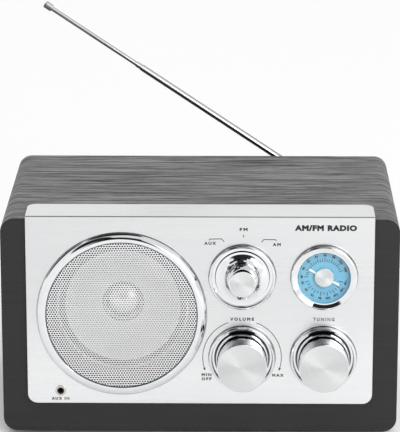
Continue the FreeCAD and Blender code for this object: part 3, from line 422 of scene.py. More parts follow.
def makeWoodWrap():
    # charcoal wood-grain wrap: the grain runs across the top and on down both sides
    values = woodValues
    finish, tree, shader, spot = startFinish("WoodWrap")
    x, y, z = addNode(tree, "ShaderNodeSeparateXYZ", {0: spot}).outputs
    sideways = sumUp(tree, "SIGN", x)
    reach = sumUp(tree, "ADD", sumUp(tree, "ABSOLUTE", x), sumUp(tree, "SUBTRACT", shellHigh.z, z))
    run = sumUp(tree, "MULTIPLY", sideways, reach)

    def grainSpot(alongScale, across, shift=0.0):
        along = sumUp(tree, "MULTIPLY_ADD", run, alongScale, shift)
        return addNode(tree, "ShaderNodeCombineXYZ", {0: along, 1: across, 2: shift}).outputs[0]

    slow = mottle(tree, grainSpot(9.0, sumUp(tree, "MULTIPLY", y, 26.0)), 1.0, 2.0, 0.5)
    small = mottle(tree, grainSpot(44.0, sumUp(tree, "MULTIPLY", y, 120.0), 3.7), 1.0, 2.5, 0.55)
    lane = sumUp(tree, "DIVIDE", y, values["bandPitch"])
    lane = sumUp(tree, "ADD", lane, sumUp(tree, "MULTIPLY", slow, values["wander"] * 2))
    lane = sumUp(tree, "ADD", lane, sumUp(tree, "MULTIPLY", small, 0.75))
    bold = mottle(tree, grainSpot(8.5, lane), 1.0, 2.5, 0.5)
    fineLane = sumUp(tree, "MULTIPLY", lane, 3.1)
    thin = mottle(tree, grainSpot(32.0, fineLane, 9.1), 1.0, 3.0, 0.6)
    poreLane = sumUp(tree, "MULTIPLY", lane, 9.0)
    pore = mottle(tree, grainSpot(160.0, poreLane, 5.3), 1.0, 2.0, 0.6)
    height = sumUp(tree, "MULTIPLY", remap(tree, bold, 0.38, 0.62, 0, 1, True), 0.42)
    thin = sumUp(tree, "MULTIPLY", remap(tree, thin, 0.36, 0.62, 0, 1, True), 0.46)
    pore = sumUp(tree, "MULTIPLY", remap(tree, pore, 0.35, 0.65, 0, 1), 0.22)
    height = sumUp(tree, "ADD", sumUp(tree, "ADD", height, thin), pore)
    tone = remap(tree, height, 0.30, 0.84, 0, 1)
    colour = blendColour(tree, tone, values["dark"], values["light"])
    # a lighter colour painted in patches along the front edge
    frontEdge = remap(tree, y, shellLow.y, shellLow.y + 1.2 * mm, 1.0, 0.0, True)
    frontEdgeBand = sumUp(tree, "MULTIPLY", frontEdge, remap(tree, mottle(tree, spot, 120, 4, 0.6), 0.45, 0.7))
    colour = blendColour(tree, sumUp(tree, "MULTIPLY", frontEdgeBand, 0.5), colour, values["frontEdgePale"])
    # the board's cut edge at the back is painted plain
    cut = remap(tree, y, shellHigh.y - 0.5 * mm, shellHigh.y - 0.2 * mm, 0.0, 1.0, True)
    plain = blendColour(tree, mottle(tree, spot, 700, 4, 0.6), values["cutDark"], values["cutLight"])
    colour = blendColour(tree, cut, colour, plain)
    tree.links.new(colour, shader.inputs["Base Color"])
    height = sumUp(tree, "MULTIPLY", height, sumUp(tree, "SUBTRACT", 1.0, cut))
    low, high = values["rough"]
    tree.links.new(remap(tree, height, 0.2, 0.9, high, low), shader.inputs["Roughness"])
    tree.links.new(raised(tree, height, 0.75, values["depth"]), shader.inputs["Normal"])
    return finish


sheetValues = {
    "dark": (0.0040, 0.0040, 0.0042),
    "light": (0.013, 0.013, 0.0135),
    "speck": (0.075, 0.070, 0.062),
    "rough": (0.50, 0.62),
}


def makeBlackSheet():
    # the plain black front: faint level streaks and a few pale specks
    values = sheetValues
    finish, tree, shader, spot = startFinish("BlackSheet")
    streak = mottle(tree, stretched(tree, spot, (9, 300, 340)), 1.0, 3.0, 0.6)
    grainy = mottle(tree, spot, 1500, 2, 0.5)
    tone = sumUp(tree, "ADD", sumUp(tree, "MULTIPLY", streak, 0.7), sumUp(tree, "MULTIPLY", grainy, 0.3))
    colour = blendColour(tree, remap(tree, tone, 0.35, 0.65), values["dark"], values["light"])
    cells = addNode(
        tree, "ShaderNodeTexVoronoi", {"Vector": spot, "Scale": 420.0}, feature="F1",
    )
    dots = remap(tree, cells.outputs["Distance"], 0.06, 0.14, 1.0, 0.0, True)
    chosen = addNode(tree, "ShaderNodeSeparateXYZ", {0: cells.outputs["Color"]}).outputs[0]
    dots = sumUp(tree, "MULTIPLY", dots, remap(tree, chosen, 0.93, 0.95))
    colour = blendColour(tree, dots, colour, values["speck"])
    low, high = values["rough"]
    dress(
        tree, shader, colour, remap(tree, tone, 0.35, 0.65, low, high),
        raised(tree, tone, 0.25, 0.05 * mm),
    )
    return finish


panelValues = {
    "colour": (0.738, 0.744, 0.750),
    "lowerGain": 1.20,  # painted brighter towards the bottom, in place of light off a table
    "lowerHeights": (115 * mm, 25 * mm),
    "ringShade": 0.55 * mm,  # a dark line painted round each ring, in place of shadow
    "ringShadeColour": (0.035, 0.034, 0.033),
    "rough": (0.24, 0.36),
    "fold": 0.7 * mm,  # a darker line painted along the bend, in place of a dark reflection
    "bent": (0.20, 0.17, 0.15),
    "brush": 2600.0,  # scratches per metre across the brushing
    "depth": 0.012 * mm,
}


def makeSilverPanel():
    # brushed silver: fine level scratches with slow cloudy streaks over them, painted brighter towards the
    # bottom, with a painted dark reflection along the bend and painted shadow lines round the rings
    values = panelValues
    finish, tree, shader, spot = startFinish("SilverPanel", Metallic=1.0)
    fine = mottle(tree, stretched(tree, spot, (14, values["brush"], values["brush"])), 1.0, 3.0, 0.6)
    slow = mottle(tree, stretched(tree, spot, (3, 110, 110)), 1.0, 4.0, 0.6)
    cloud = mottle(tree, stretched(tree, spot, (6, 60, 60)), 1.0, 3, 0.5)
    tone = sumUp(tree, "ADD", sumUp(tree, "MULTIPLY", slow, 0.35), sumUp(tree, "MULTIPLY", fine, 0.65))
    dull, bright = (tinted(values["colour"], amount) for amount in (0.975, 1.02))
    colour = blendColour(tree, remap(tree, tone, 0.35, 0.65), dull, bright)
    x, y, z = addNode(tree, "ShaderNodeSeparateXYZ", {0: spot}).outputs
    fold = values["fold"]
    nearTop = remap(tree, z, panelHigh.z - fold * 1.3, panelHigh.z - fold * 0.4, 0.0, 1.0, True)
    nearFront = remap(tree, y, panelFace + fold * 0.4, panelFace + fold * 1.3, 1.0, 0.0, True)
    bend = sumUp(tree, "MULTIPLY", nearTop, nearFront)
    start, full = (cabinetBase + up for up in values["lowerHeights"])
    lower = remap(tree, z, start, full, 0.0, 1.0, True)
    colour = blendColour(tree, lower, colour, (values["lowerGain"],) * 3, "MULTIPLY")
    colour = blendColour(tree, sumUp(tree, "MULTIPLY", bend, 0.8), colour, values["bent"])
    patchy = remap(tree, mottle(tree, spot, 260, 3), 0.3, 0.7, 0.55, 0.95)
    # a dark line painted round each ring, in place of its shadow on the panel, patchy in strength
    for node in ("speaker_bezel", "selector_bezel", "volume_bezel", "tuning_bezel", "dial_bezel"):
        low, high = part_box(node)
        off = sumUp(tree, "SUBTRACT", awayFrom(tree, x, z, middleOf(node)), (high.x - low.x) / 2)
        ringShade = remap(tree, off, 0.6 * values["ringShade"], values["ringShade"], 1.0, 0.0, True)
        colour = blendColour(tree, sumUp(tree, "MULTIPLY", ringShade, patchy), colour, values["ringShadeColour"])
    tree.links.new(colour, shader.inputs["Base Color"])
    low, high = values["rough"]
    gloss = sumUp(tree, "ADD", sumUp(tree, "MULTIPLY", tone, 0.7), sumUp(tree, "MULTIPLY", cloud, 0.3))
    tree.links.new(remap(tree, gloss, 0.35, 0.65, low, high), shader.inputs["Roughness"])
    tree.links.new(raised(tree, fine, 0.35, values["depth"]), shader.inputs["Normal"])
    return finish


def makeChrome(name="Chrome", tone=(0.81, 0.82, 0.835), rough=(0.03, 0.075)):
    # bright plating: faint orange peel, with handling marks in the gloss
    finish, tree, shader, spot = startFinish(name, Metallic=1.0)
    marks = mottle(tree, spot, 70, 5, 0.65, 0.4)
    fine = mottle(tree, spot, 800, 2, 0.5)
    colour = blendColour(tree, remap(tree, marks, 0.35, 0.65), tinted(tone, 0.97), tinted(tone, 1.03))
    dress(
        tree, shader, colour, remap(tree, marks, 0.35, 0.7, rough[0], rough[1]),
        raised(tree, fine, 0.03, 0.05 * mm),
    )
    return finish


tubeValues = {
    # painted reflection: place across the tube, from its underside (-1) to its top (1), and how bright it
    # is painted there
    "bands": (
        (-1.0, 0.14), (-0.18, 0.11), (-0.06, 0.42), (0.16, 0.48),
        (0.28, 1.0), (0.70, 1.0), (0.82, 0.45), (1.0, 0.5),
    ),
}


def makeTubeChrome(node):
    # plated tube, painted in bands along its length in place of what it would reflect
    finish = chrome.copy()
    finish.name = "Tube_" + node
    tree = finish.node_tree
    shader = tree.nodes["Principled BSDF"]
    low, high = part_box(node)
    middle = (low + high) / 2
    half = (high.y - low.y) / 2
    along = (middleOf("antenna_tip") - middleOf("antenna_outer_tube")).normalized()
    up = Vector((-along.z, 0, along.x))
    up = up if up.z > 0 else -up
    spot = addNode(tree, "ShaderNodeTexCoord").outputs["Object"]
    rise = addNode(
        tree, "ShaderNodeVectorMath", {0: spot, 1: up}, operation="DOT_PRODUCT",
    ).outputs["Value"]
    rise = sumUp(tree, "DIVIDE", sumUp(tree, "SUBTRACT", rise, middle.dot(up)), half)
    ramp = addNode(tree, "ShaderNodeValToRGB", {0: remap(tree, rise, -1.0, 1.0)})
    bands = tubeValues["bands"]
    while len(ramp.color_ramp.elements) < len(bands):
        ramp.color_ramp.elements.new(0.5)
    for element, (share, bright) in zip(ramp.color_ramp.elements, bands):
        element.position = (share + 1) / 2
        element.color = (bright, bright, bright, 1)
    plated = shader.inputs["Base Color"].links[0].from_socket
    tree.links.new(blendColour(tree, 1.0, plated, ramp.outputs[0], "MULTIPLY"), shader.inputs["Base Color"])
    return finish


# colour of the dark lines painted on the control rings in place of shadow
wellShade = (0.03, 0.03, 0.032)


def makeWellChrome(name, middle, lines):
    # plated ring with thin dark lines painted on it, each between two radii, in place of shadow
    finish = chrome.copy()
    finish.name = name
    tree = finish.node_tree
    shader = tree.nodes["Principled BSDF"]
    spot = addNode(tree, "ShaderNodeTexCoord").outputs["Object"]
    x, y, z = addNode(tree, "ShaderNodeSeparateXYZ", {0: spot}).outputs
    radius = awayFrom(tree, x, z, middle)
    colour = shader.inputs["Base Color"].links[0].from_socket
    for start, end in lines:
        off = sumUp(tree, "ABSOLUTE", sumUp(tree, "SUBTRACT", radius, (start + end) / 2 * mm))
        half = (end - start) / 2 * mm
        line = remap(tree, off, 0.75 * half, 1.1 * half, 0.95, 0.0, True)
        colour = blendColour(tree, line, colour, wellShade)
    tree.links.new(colour, shader.inputs["Base Color"])
    return finish


spunValues = {
    "tone": (0.725, 0.730, 0.735),
    "rough": (0.24, 0.34),
    "grooves": 5200.0,  # per metre of radius
    "anisotropy": 0.8,
}


def makeSpun(name, middle):
    # spun aluminium: fine circles round one axis, so that the light falls in two wedges
    values = spunValues
    finish, tree, shader, spot = startFinish(name, Metallic=1.0, Anisotropic=values["anisotropy"])
    x, y, z = addNode(tree, "ShaderNodeSeparateXYZ", {0: spot}).outputs
    radius = awayFrom(tree, x, z, middle)
    circles = addNode(tree, "ShaderNodeTexNoise", {
        "W": sumUp(tree, "MULTIPLY", radius, values["grooves"]), "Scale": 1.0, "Detail": 3.0,
    }, noise_dimensions="1D").outputs[0]
    colour = blendColour(
        tree, remap(tree, circles, 0.3, 0.7), tinted(values["tone"], 0.93), tinted(values["tone"], 1.04),
    )
    low, high = values["rough"]
    dress(
        tree, shader, colour, remap(tree, circles, 0.3, 0.7, low, high),
        raised(tree, circles, 0.20, 0.010 * mm),
    )
    along = addNode(tree, "ShaderNodeTangent", direction_type="RADIAL", axis="Y").outputs[0]
    tree.links.new(along, shader.inputs["Tangent"])
    return finish


dialValues = {
    "blue": (0.130, 0.415, 0.575),
    "shadedBlue": (0.092, 0.335, 0.500),
    "fleck": (0.3, 0.62, 0.78),
    "rough": (0.35, 0.5),
}


def makeDialBlue():
    finish, tree, shader, spot = startFinish("DialBlue")
    x, y, z = addNode(tree, "ShaderNodeSeparateXYZ", {0: spot}).outputs
    cloud = mottle(tree, spot, 90, 3, 0.5)
    fine = mottle(tree, spot, 1800, 2, 0.5)
    outX = sumUp(tree, "SUBTRACT", x, dialSpot.x)
    outZ = sumUp(tree, "SUBTRACT", z, dialSpot.z)
    shadeSlope = sumUp(tree, "SUBTRACT", outX, outZ)  # painted shade: the blue darkens towards the lower right
    shade = remap(tree, shadeSlope, -0.01, 0.024, 0.0, 0.8)
    shade = sumUp(tree, "ADD", shade, sumUp(tree, "MULTIPLY", cloud, 0.25))
    colour = blendColour(tree, shade, dialValues["blue"], dialValues["shadedBlue"])
    colour = blendColour(tree, remap(tree, fine, 0.4, 0.7, 0.0, 0.12), colour, dialValues["fleck"])
    low, high = dialValues["rough"]
    dress(
        tree, shader, colour, remap(tree, cloud, 0.35, 0.65, low, high),
        raised(tree, fine, 0.05, 0.05 * mm),
    )
    return finish


def makeClearLens():
    # clear plastic that lets the lamps through to the dial behind it
    finish, tree, shader, spot = startFinish(
        "ClearLens", Transmission_Weight=1.0, IOR=1.46, Base_Color=(0.97, 0.985, 0.99),
    )
    smear = mottle(tree, spot, 60, 4, 0.6, 0.5)
    tree.links.new(remap(tree, smear, 0.4, 0.75, 0.0, 0.035), shader.inputs["Roughness"])
    tree.links.new(raised(tree, mottle(tree, spot, 500, 2), 0.02, 0.02 * mm), shader.inputs["Normal"])
    through = addNode(tree, "ShaderNodeBsdfTransparent", {"Color": (0.96, 0.98, 0.985, 1)})
    lampRay = addNode(tree, "ShaderNodeLightPath").outputs["Is Shadow Ray"]
    both = addNode(tree, "ShaderNodeMixShader", {0: lampRay, 1: shader.outputs[0], 2: through.outputs[0]})
    tree.links.new(both.outputs[0], tree.nodes["Material Output"].inputs["Surface"])
    return finish


coneValues = {
    "pale": (0.60, 0.60, 0.61), "grey": (0.47, 0.47, 0.485),
    "capShadeRadius": 14.4 * mm, "capShadeHalf": 0.9 * mm, "capShade": (0.06, 0.06, 0.065),
}


def makeConeSilver(name, rough, metal):
    # silvered paper with a soft fibre fleck, and a dark line painted round the cap in place of the shade in
    # the gap between cap and cone
    finish, tree, shader, spot = startFinish(name, Metallic=metal)
    x, y, z = addNode(tree, "ShaderNodeSeparateXYZ", {0: spot}).outputs
    radius = awayFrom(tree, x, z, speakerSpot)
    fibre = mottle(tree, spot, 700, 4, 0.65, 1.0)
    cloud = mottle(tree, spot, 60, 3, 0.5)
    shade = sumUp(tree, "MULTIPLY_ADD", cloud, 0.5, sumUp(tree, "MULTIPLY", fibre, 0.5))
    colour = blendColour(tree, remap(tree, shade, 0.35, 0.65), coneValues["grey"], coneValues["pale"])
    # painted shade: a dark line round the cap where it meets the cone
    off = sumUp(tree, "ABSOLUTE", sumUp(tree, "SUBTRACT", radius, coneValues["capShadeRadius"]))
    capShade = remap(tree, off, 0.5 * coneValues["capShadeHalf"], coneValues["capShadeHalf"], 0.85, 0.0, True)
    colour = blendColour(tree, capShade, colour, coneValues["capShade"])
    dress(
        tree, shader, colour, remap(tree, fibre, 0.3, 0.7, rough - 0.05, rough + 0.05),
        raised(tree, fibre, 0.12, 0.1 * mm),
    )
    return finish


sheetMetalValues = {
    "dull": (0.955, 0.955, 0.96),
    "pale": (0.985, 0.985, 0.99),
    "fleck": (0.78, 0.78, 0.79),
    "rim": (52.7 * mm, 53.0 * mm),  # a painted shade line, in place of the shadow in the gap at the grille's edge, comes in between these radii
    "rimShade": (0.10, 0.10, 0.11),
    "rough": (0.14, 0.24),
}


def makeGrilleMetal():
    # pressed and silver-painted steel with a fine fleck, and a painted shade line at its rim
    values = sheetMetalValues
    finish, tree, shader, spot = startFinish("GrilleMetal", Metallic=0.9)
    cloud = mottle(tree, spot, 30, 4, 0.6)
    fine = mottle(tree, spot, 1600, 2, 0.6)
    colour = blendColour(tree, remap(tree, cloud, 0.3, 0.7), values["dull"], values["pale"])
    colour = blendColour(tree, remap(tree, fine, 0.55, 0.75, 0, 0.3), colour, values["fleck"])
    x, y, z = addNode(tree, "ShaderNodeSeparateXYZ", {0: spot}).outputs
    # painted shade: a dark line at the grille's rim, in place of the shadow in the gap round it
    rim = remap(tree, awayFrom(tree, x, z, speakerSpot), *values["rim"], 0.0, 0.9, True)
    colour = blendColour(tree, rim, colour, values["rimShade"])
    dress(
        tree, shader, colour, remap(tree, fine, 0.3, 0.7, *values["rough"]),
        raised(tree, fine, 0.06, 0.05 * mm),
    )
    return finish


def makeInk(name, colour):
    # screen-printed ink: a little thin in places
    finish, tree, shader, spot = startFinish(name)
    patchy = mottle(tree, spot, 2400, 3, 0.6)
    shown = blendColour(tree, remap(tree, patchy, 0.4, 0.75), colour, tinted(colour, 2.2))
    dress(
        tree, shader, shown, remap(tree, patchy, 0.3, 0.7, 0.35, 0.55),
        raised(tree, patchy, 0.1, 0.01 * mm),
    )
    return finish


boardValues = {
    "dark": (0.010, 0.095, 0.035),
    "light": (0.018, 0.14, 0.055),
    "track": (0.05, 0.26, 0.09),
    "pad": (0.62, 0.60, 0.55),
}


def makeBoardGreen():
    # green solder mask with tracks showing through and bright pads
    finish, tree, shader, spot = startFinish("BoardGreen")
    tracks = addNode(
        tree, "ShaderNodeTexVoronoi", {"Vector": stretched(tree, spot, (150, 150, 1)), "Scale": 1.0},
        feature="DISTANCE_TO_EDGE", distance="EUCLIDEAN",
    ).outputs["Distance"]
    line = remap(tree, tracks, 0.05, 0.09, 1.0, 0.0, True)
    cells = addNode(
        tree, "ShaderNodeTexVoronoi", {"Vector": stretched(tree, spot, (260, 260, 1)), "Scale": 1.0},
    )
    pads = remap(tree, cells.outputs["Distance"], 0.13, 0.17, 1.0, 0.0, True)
    cloud = mottle(tree, spot, 60, 3)
    colour = blendColour(tree, cloud, boardValues["dark"], boardValues["light"])
    colour = blendColour(tree, sumUp(tree, "MULTIPLY", line, 0.6), colour, boardValues["track"])
    colour = blendColour(tree, pads, colour, boardValues["pad"])
    tree.links.new(colour, shader.inputs["Base Color"])
    tree.links.new(pads, shader.inputs["Metallic"])
    tree.links.new(remap(tree, cloud, 0.3, 0.7, 0.25, 0.42), shader.inputs["Roughness"])
    copper = sumUp(tree, "MAXIMUM", line, pads)
    tree.links.new(raised(tree, copper, 0.3, 0.05 * mm), shader.inputs["Normal"])
    return finish


def makeFibre(name, pale, dark, scale, bumpy=0.3, rough=0.8):
    # pressed fibre, foam or felt: tangled threads at one scale and blotches at another
    finish, tree, shader, spot = startFinish(name)
    thread = mottle(tree, spot, scale, 5, 0.7, 1.6)
    blotch = mottle(tree, spot, 40, 3, 0.5)
    shade = sumUp(tree, "ADD", sumUp(tree, "MULTIPLY", thread, 0.7), sumUp(tree, "MULTIPLY", blotch, 0.3))
    colour = blendColour(tree, remap(tree, shade, 0.35, 0.65), dark, pale)
    glossy, matt = rough - 0.12, min(1.0, rough + 0.12)
    dress(
        tree, shader, colour, remap(tree, thread, 0.3, 0.7, glossy, matt),
        raised(tree, thread, bumpy, 0.3 * mm),
    )
    return finish


pineValues = {"pale": (0.62, 0.42, 0.22), "dark": (0.40, 0.22, 0.09)}


def makePine():
    # sawn pine: growth rings cut through, with saw marks
    finish, tree, shader, spot = startFinish("Pine")
    rings = addNode(tree, "ShaderNodeTexWave", {
        "Vector": stretched(tree, spot, (1.0, 0.15, 1.0), (0.0, 0.0, 0.35)),
        "Scale": 95.0, "Distortion": 3.0, "Detail": 3.0, "Detail Scale": 1.2,
    }, wave_type="RINGS", rings_direction="Y").outputs[0]
    fibre = mottle(tree, stretched(tree, spot, (900, 60, 900)), 1.0, 3, 0.6)
    shade = sumUp(tree, "ADD", sumUp(tree, "MULTIPLY", rings, 0.7), sumUp(tree, "MULTIPLY", fibre, 0.3))
    colour = blendColour(tree, shade, pineValues["pale"], pineValues["dark"])
    dress(
        tree, shader, colour, remap(tree, fibre, 0.3, 0.7, 0.55, 0.75),
        raised(tree, shade, 0.3, 0.1 * mm),
    )
    return finish


def makeWoundWire(name, colour, pitch, axis):
    # fine enamelled wire, wound turn beside turn along one axis
    finish, tree, shader, spot = startFinish(name, Metallic=0.85)
    parts = addNode(tree, "ShaderNodeSeparateXYZ", {0: spot}).outputs
    turns = sumUp(tree, "SINE", sumUp(tree, "MULTIPLY", parts["XYZ".index(axis)], 2 * math.pi / pitch))
    cloud = mottle(tree, spot, 220, 3)
    # painted shade: the colour darkens between the turns
    shaded = blendColour(tree, remap(tree, turns, -1, 1), tinted(colour, 0.35), colour)
    dress(
        tree, shader, shaded, remap(tree, cloud, 0.3, 0.7, 0.25, 0.4),
        raised(tree, turns, 0.7, pitch * 0.3),
    )
    return finish


woodWrap = makeWoodWrap()
blackSheet = makeBlackSheet()
silverPanel = makeSilverPanel()
chrome = makeChrome()
dialBlue = makeDialBlue()
clearLens = makeClearLens()
grilleMetal = makeGrilleMetal()
coneSilver = makeConeSilver("ConeSilver", 0.50, 0.3)
capSilver = makeConeSilver("CapSilver", 0.08, 0.95)
legendInk = makeInk("LegendInk", (0.004, 0.004, 0.005))
dialInk = makeInk("DialInk", (0.002, 0.006, 0.012))
boardGreen = makeBoardGreen()
fibreboard = makeFibre("Fibreboard", (0.030, 0.026, 0.022), (0.012, 0.010, 0.009), 900)
blackFoam = makeFibre("BlackFoam", (0.028, 0.028, 0.028), (0.010, 0.010, 0.010), 1500, 0.5, 0.9)
pine = makePine()
copperWire = makeWoundWire("CopperWire", (0.72, 0.30, 0.12), 0.4 * mm, "X")
gearNylon = simpleFinish(
    "GearNylon", (0.78, 0.76, 0.68), 0.40, 0.0, 900, 0.04, 0.05, Subsurface_Weight=0.08,
)

paint(woodWrap, "cabinet_shell")
paint(blackSheet, "front_sheet")
paint(silverPanel, "front_panel")
paint(fibreboard, "front_baffle")
paint(chrome, "speaker_bezel", "selector_bezel", "volume_bezel", "tuning_bezel", "dial_bezel")
paint(chrome, "volume_knob", "tuning_knob", "selector_knob", "antenna_base", "antenna_foot")
paint(makeChrome("AuxPlate", (0.64, 0.60, 0.53), (0.12, 0.24)), "aux_ring")
for tube in ("antenna_outer_tube", "antenna_middle_tube", "antenna_rod", "antenna_tip"):
    paint(makeTubeChrome(tube), tube)
paint(makeSpun("SpunVolume", volumeSpot), "volume_knob_face")
paint(makeSpun("SpunTuning", tuningSpot), "tuning_knob_face")
paint(makeSpun("SpunSelector", selectorSpot), "selector_knob_face")
paint(makeSpun("SpunHub", dialSpot), "pointer_hub")
paint(grilleMetal, "speaker_grille")
paint(coneSilver, "speaker_cone")
paint(capSilver, "speaker_dust_cap")
paint(blackFoam, "speaker_surround")
paint(dialBlue, "dial_plate")
paint(clearLens, "dial_lens")
paint(gearNylon, "idler_gear", "dial_gear")
paint(boardGreen, "main_board")
paint(copperWire, "ferrite_winding")
paint(pine, "back_blocks")

plainFinishes = {
    # colour, roughness, metal, grain and its bump, colour variation, then the nodes it is for
    "Steel": (
        (0.56, 0.56, 0.55), 0.30, 1.0, 1200, 0.05, 0.10,
        "speaker_basket", "control_plate", "standoffs", "inner_screws", "back_screws", "transformer",
        "volume_shaft", "selector_shaft", "tuning_shaft", "capacitor_shaft", "antenna_bracket",
        "volume_control", "selector_switch", "tuning_capacitor",
    ),
    "Brass": ((0.74, 0.53, 0.22), 0.26, 1.0, 1000, 0.04, 0.12, "tuning_bush", "idler_stud"),
    "Magnet": ((0.035, 0.035, 0.037), 0.55, 0.2, 1500, 0.15, 0.25, "speaker_magnet"),
    "Ferrite": ((0.040, 0.038, 0.037), 0.50, 0.1, 1800, 0.15, 0.2, "ferrite_rod"),
    "WhitePlastic": ((0.82, 0.82, 0.80), 0.38, 0.0, 1300, 0.03, 0.03, "pointer_bar", "ferrite_holders"),
    "BlackPlastic": (
        (0.018, 0.018, 0.019), 0.42, 0.0, 2200, 0.12, 0.25, "aux_jack", "back_cover", "mains_inlet",
    ),
    "Component": ((0.035, 0.040, 0.055), 0.38, 0.0, 1200, 0.05, 0.4, "board_components"),
    "LeadRed": ((0.50, 0.018, 0.016), 0.36, 0.0, 800, 0.03, 0.08, "speaker_leads"),
    "Rubber": ((0.016, 0.016, 0.016), 0.78, 0.0, 1600, 0.25, 0.3, "feet"),
}
for finishName, (colour, rough, metal, grain, bumpy, vary, *itsNodes) in plainFinishes.items():
    paint(simpleFinish(finishName, colour, rough, metal, grain, bumpy, vary), *itsNodes)
print("finishes made:", len(bpy.data.materials))


ringEdge = {"steps": 14, "sides": 256}


def sloped(start, stations):
    # points that run outwards from start, leaning back by the angle given at each radius
    points = [start]
    radius, y = start
    last = stations[0]
    for station in stations[1:]:
        for step in range(ringEdge["steps"]):
            share = (step + 0.5) / ringEdge["steps"]
            lean = math.radians(last[1] + (station[1] - last[1]) * share)
            move = (station[0] - last[0]) * mm / ringEdge["steps"]
            radius += move
            y += abs(move) * math.tan(lean)
            points.append((radius, y))
        last = station
    return points


speakerRing = {
    "inside": 53.6, "insideSoft": 0.4, "spigot": 56.2, "bore": 55.1, "lip": 0.8,
    "edge": ((56.0, 9), (57.1, 28), (58.7, 38), (59.7, 60)),  # radius in mm, lean in degrees
}
controlRing = {
    # radii between which a dark line is painted on each ring in place of shadow
    "lines": {
        "selector": ((18.3, 19.3),),
        "volume": ((18.8, 19.7), (21.1, 21.6)),
        "tuning": ((18.8, 19.7), (21.1, 21.6)),
    },
    "hole": 5.0, "floor": 0.5, "spigot": 10.0, "crest": 21.9, "crestSoft": 0.12, "lean": 74,
    "edge": ((22.15, 8), (22.65, 29), (22.95, 39), (23.4, 60)),
}
dialRing = {
    "window": 18.7, "lipEdge": 19.4, "lipLean": 5, "crest": 22.0, "lean": 17.5, "lipThick": 0.3,
    "skirt": 20.9, "bore": 20.1,
    "edge": ((22.15, 8), (22.65, 29), (22.95, 39), (23.4, 60)),
}


def makeSpeakerRing():
    values = speakerRing
    low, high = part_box("speaker_bezel")
    inside, soft = values["inside"] * mm, values["insideSoft"] * mm
    back = low.y + values["lip"] * mm
    edge = sloped((values["edge"][0][0] * mm, low.y), values["edge"])
    outline = [(inside, back)]
    for step in range(5):
        angle = math.radians(90 * step / 4)
        outline.append((inside + soft * (1 - math.cos(angle)), low.y + soft * (1 - math.sin(angle))))
    outline += edge + [(edge[-1][0], panelFace)]
    outline += [(values["spigot"] * mm, panelFace), (values["spigot"] * mm, high.y)]
    outline += [(values["bore"] * mm, high.y), (values["bore"] * mm, back)]
    return turned((speakerSpot.x, 0, speakerSpot.z), (0, 1, 0), outline, ringEdge["sides"])


def makeControlRing(node):
    values = controlRing
    low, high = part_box(node)
    middle = middleOf(node)
    crest, floorY = values["crest"] * mm, panelFace - values["floor"] * mm
    reach = (floorY - low.y) / math.tan(math.radians(values["lean"]))
    edge = sloped((values["edge"][0][0] * mm, low.y), values["edge"])
    soft = values["crestSoft"] * mm
    outline = [(values["hole"] * mm, floorY), (crest - reach, floorY)]
    outline += [(crest - soft, low.y + soft * 0.9), (crest + soft * 0.4, low.y)]
    outline += edge + [(edge[-1][0], panelFace)]
    outline += [(values["spigot"] * mm, panelFace), (values["spigot"] * mm, high.y)]
    outline += [(values["hole"] * mm, high.y)]
    return turned((middle.x, 0, middle.z), (0, 1, 0), outline, ringEdge["sides"])


def makeDialRing():
    values = dialRing
    low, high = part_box("dial_bezel")
    crest, lipEdge, window = (values[key] * mm for key in ("crest", "lipEdge", "window"))
    lipY = low.y + (crest - lipEdge) * math.tan(math.radians(values["lean"]))
    windowY = lipY + (lipEdge - window) * math.tan(math.radians(values["lipLean"]))
    edge = sloped((values["edge"][0][0] * mm, low.y), values["edge"])
    outline = [(window, windowY), (lipEdge, lipY), (crest, low.y)]
    outline += edge + [(edge[-1][0], panelFace)]
    outline += [(values["skirt"] * mm, panelFace), (values["skirt"] * mm, high.y)]
    outline += [(values["bore"] * mm, high.y), (values["bore"] * mm, windowY + values["lipThick"] * mm)]
    outline += [(window, windowY + values["lipThick"] * mm)]
    return turned((dialSpot.x, 0, dialSpot.z), (0, 1, 0), outline, ringEdge["sides"])


addPiece("speaker_ring", makeSpeakerRing(), "cabinet", chrome, ("speaker_bezel",), 14)
for control in ("selector", "volume", "tuning"):
    bezel = control + "_bezel"
    well = makeWellChrome("Well_" + control, middleOf(bezel), controlRing["lines"][control])
    addPiece(control + "_ring", makeControlRing(bezel), "cabinet", well, (bezel,), 14)
addPiece("dial_ring", makeDialRing(), "cabinet", chrome, ("dial_bezel",), 8)
print("chrome rings made")


grilleValues = {
    "pitch": 1.83 * mm,
    "holeRadius": 0.68 * mm,
    "holesReach": 53.7 * mm,
    "edgeRadius": 55.0 * mm,
    "edgeSoft": 0.3 * mm,
    "thick": 0.5 * mm,
    "rimThick": 0.14 * mm,
    "edgeSteps": 180,
    "tilt": 1.0,  # degrees
}


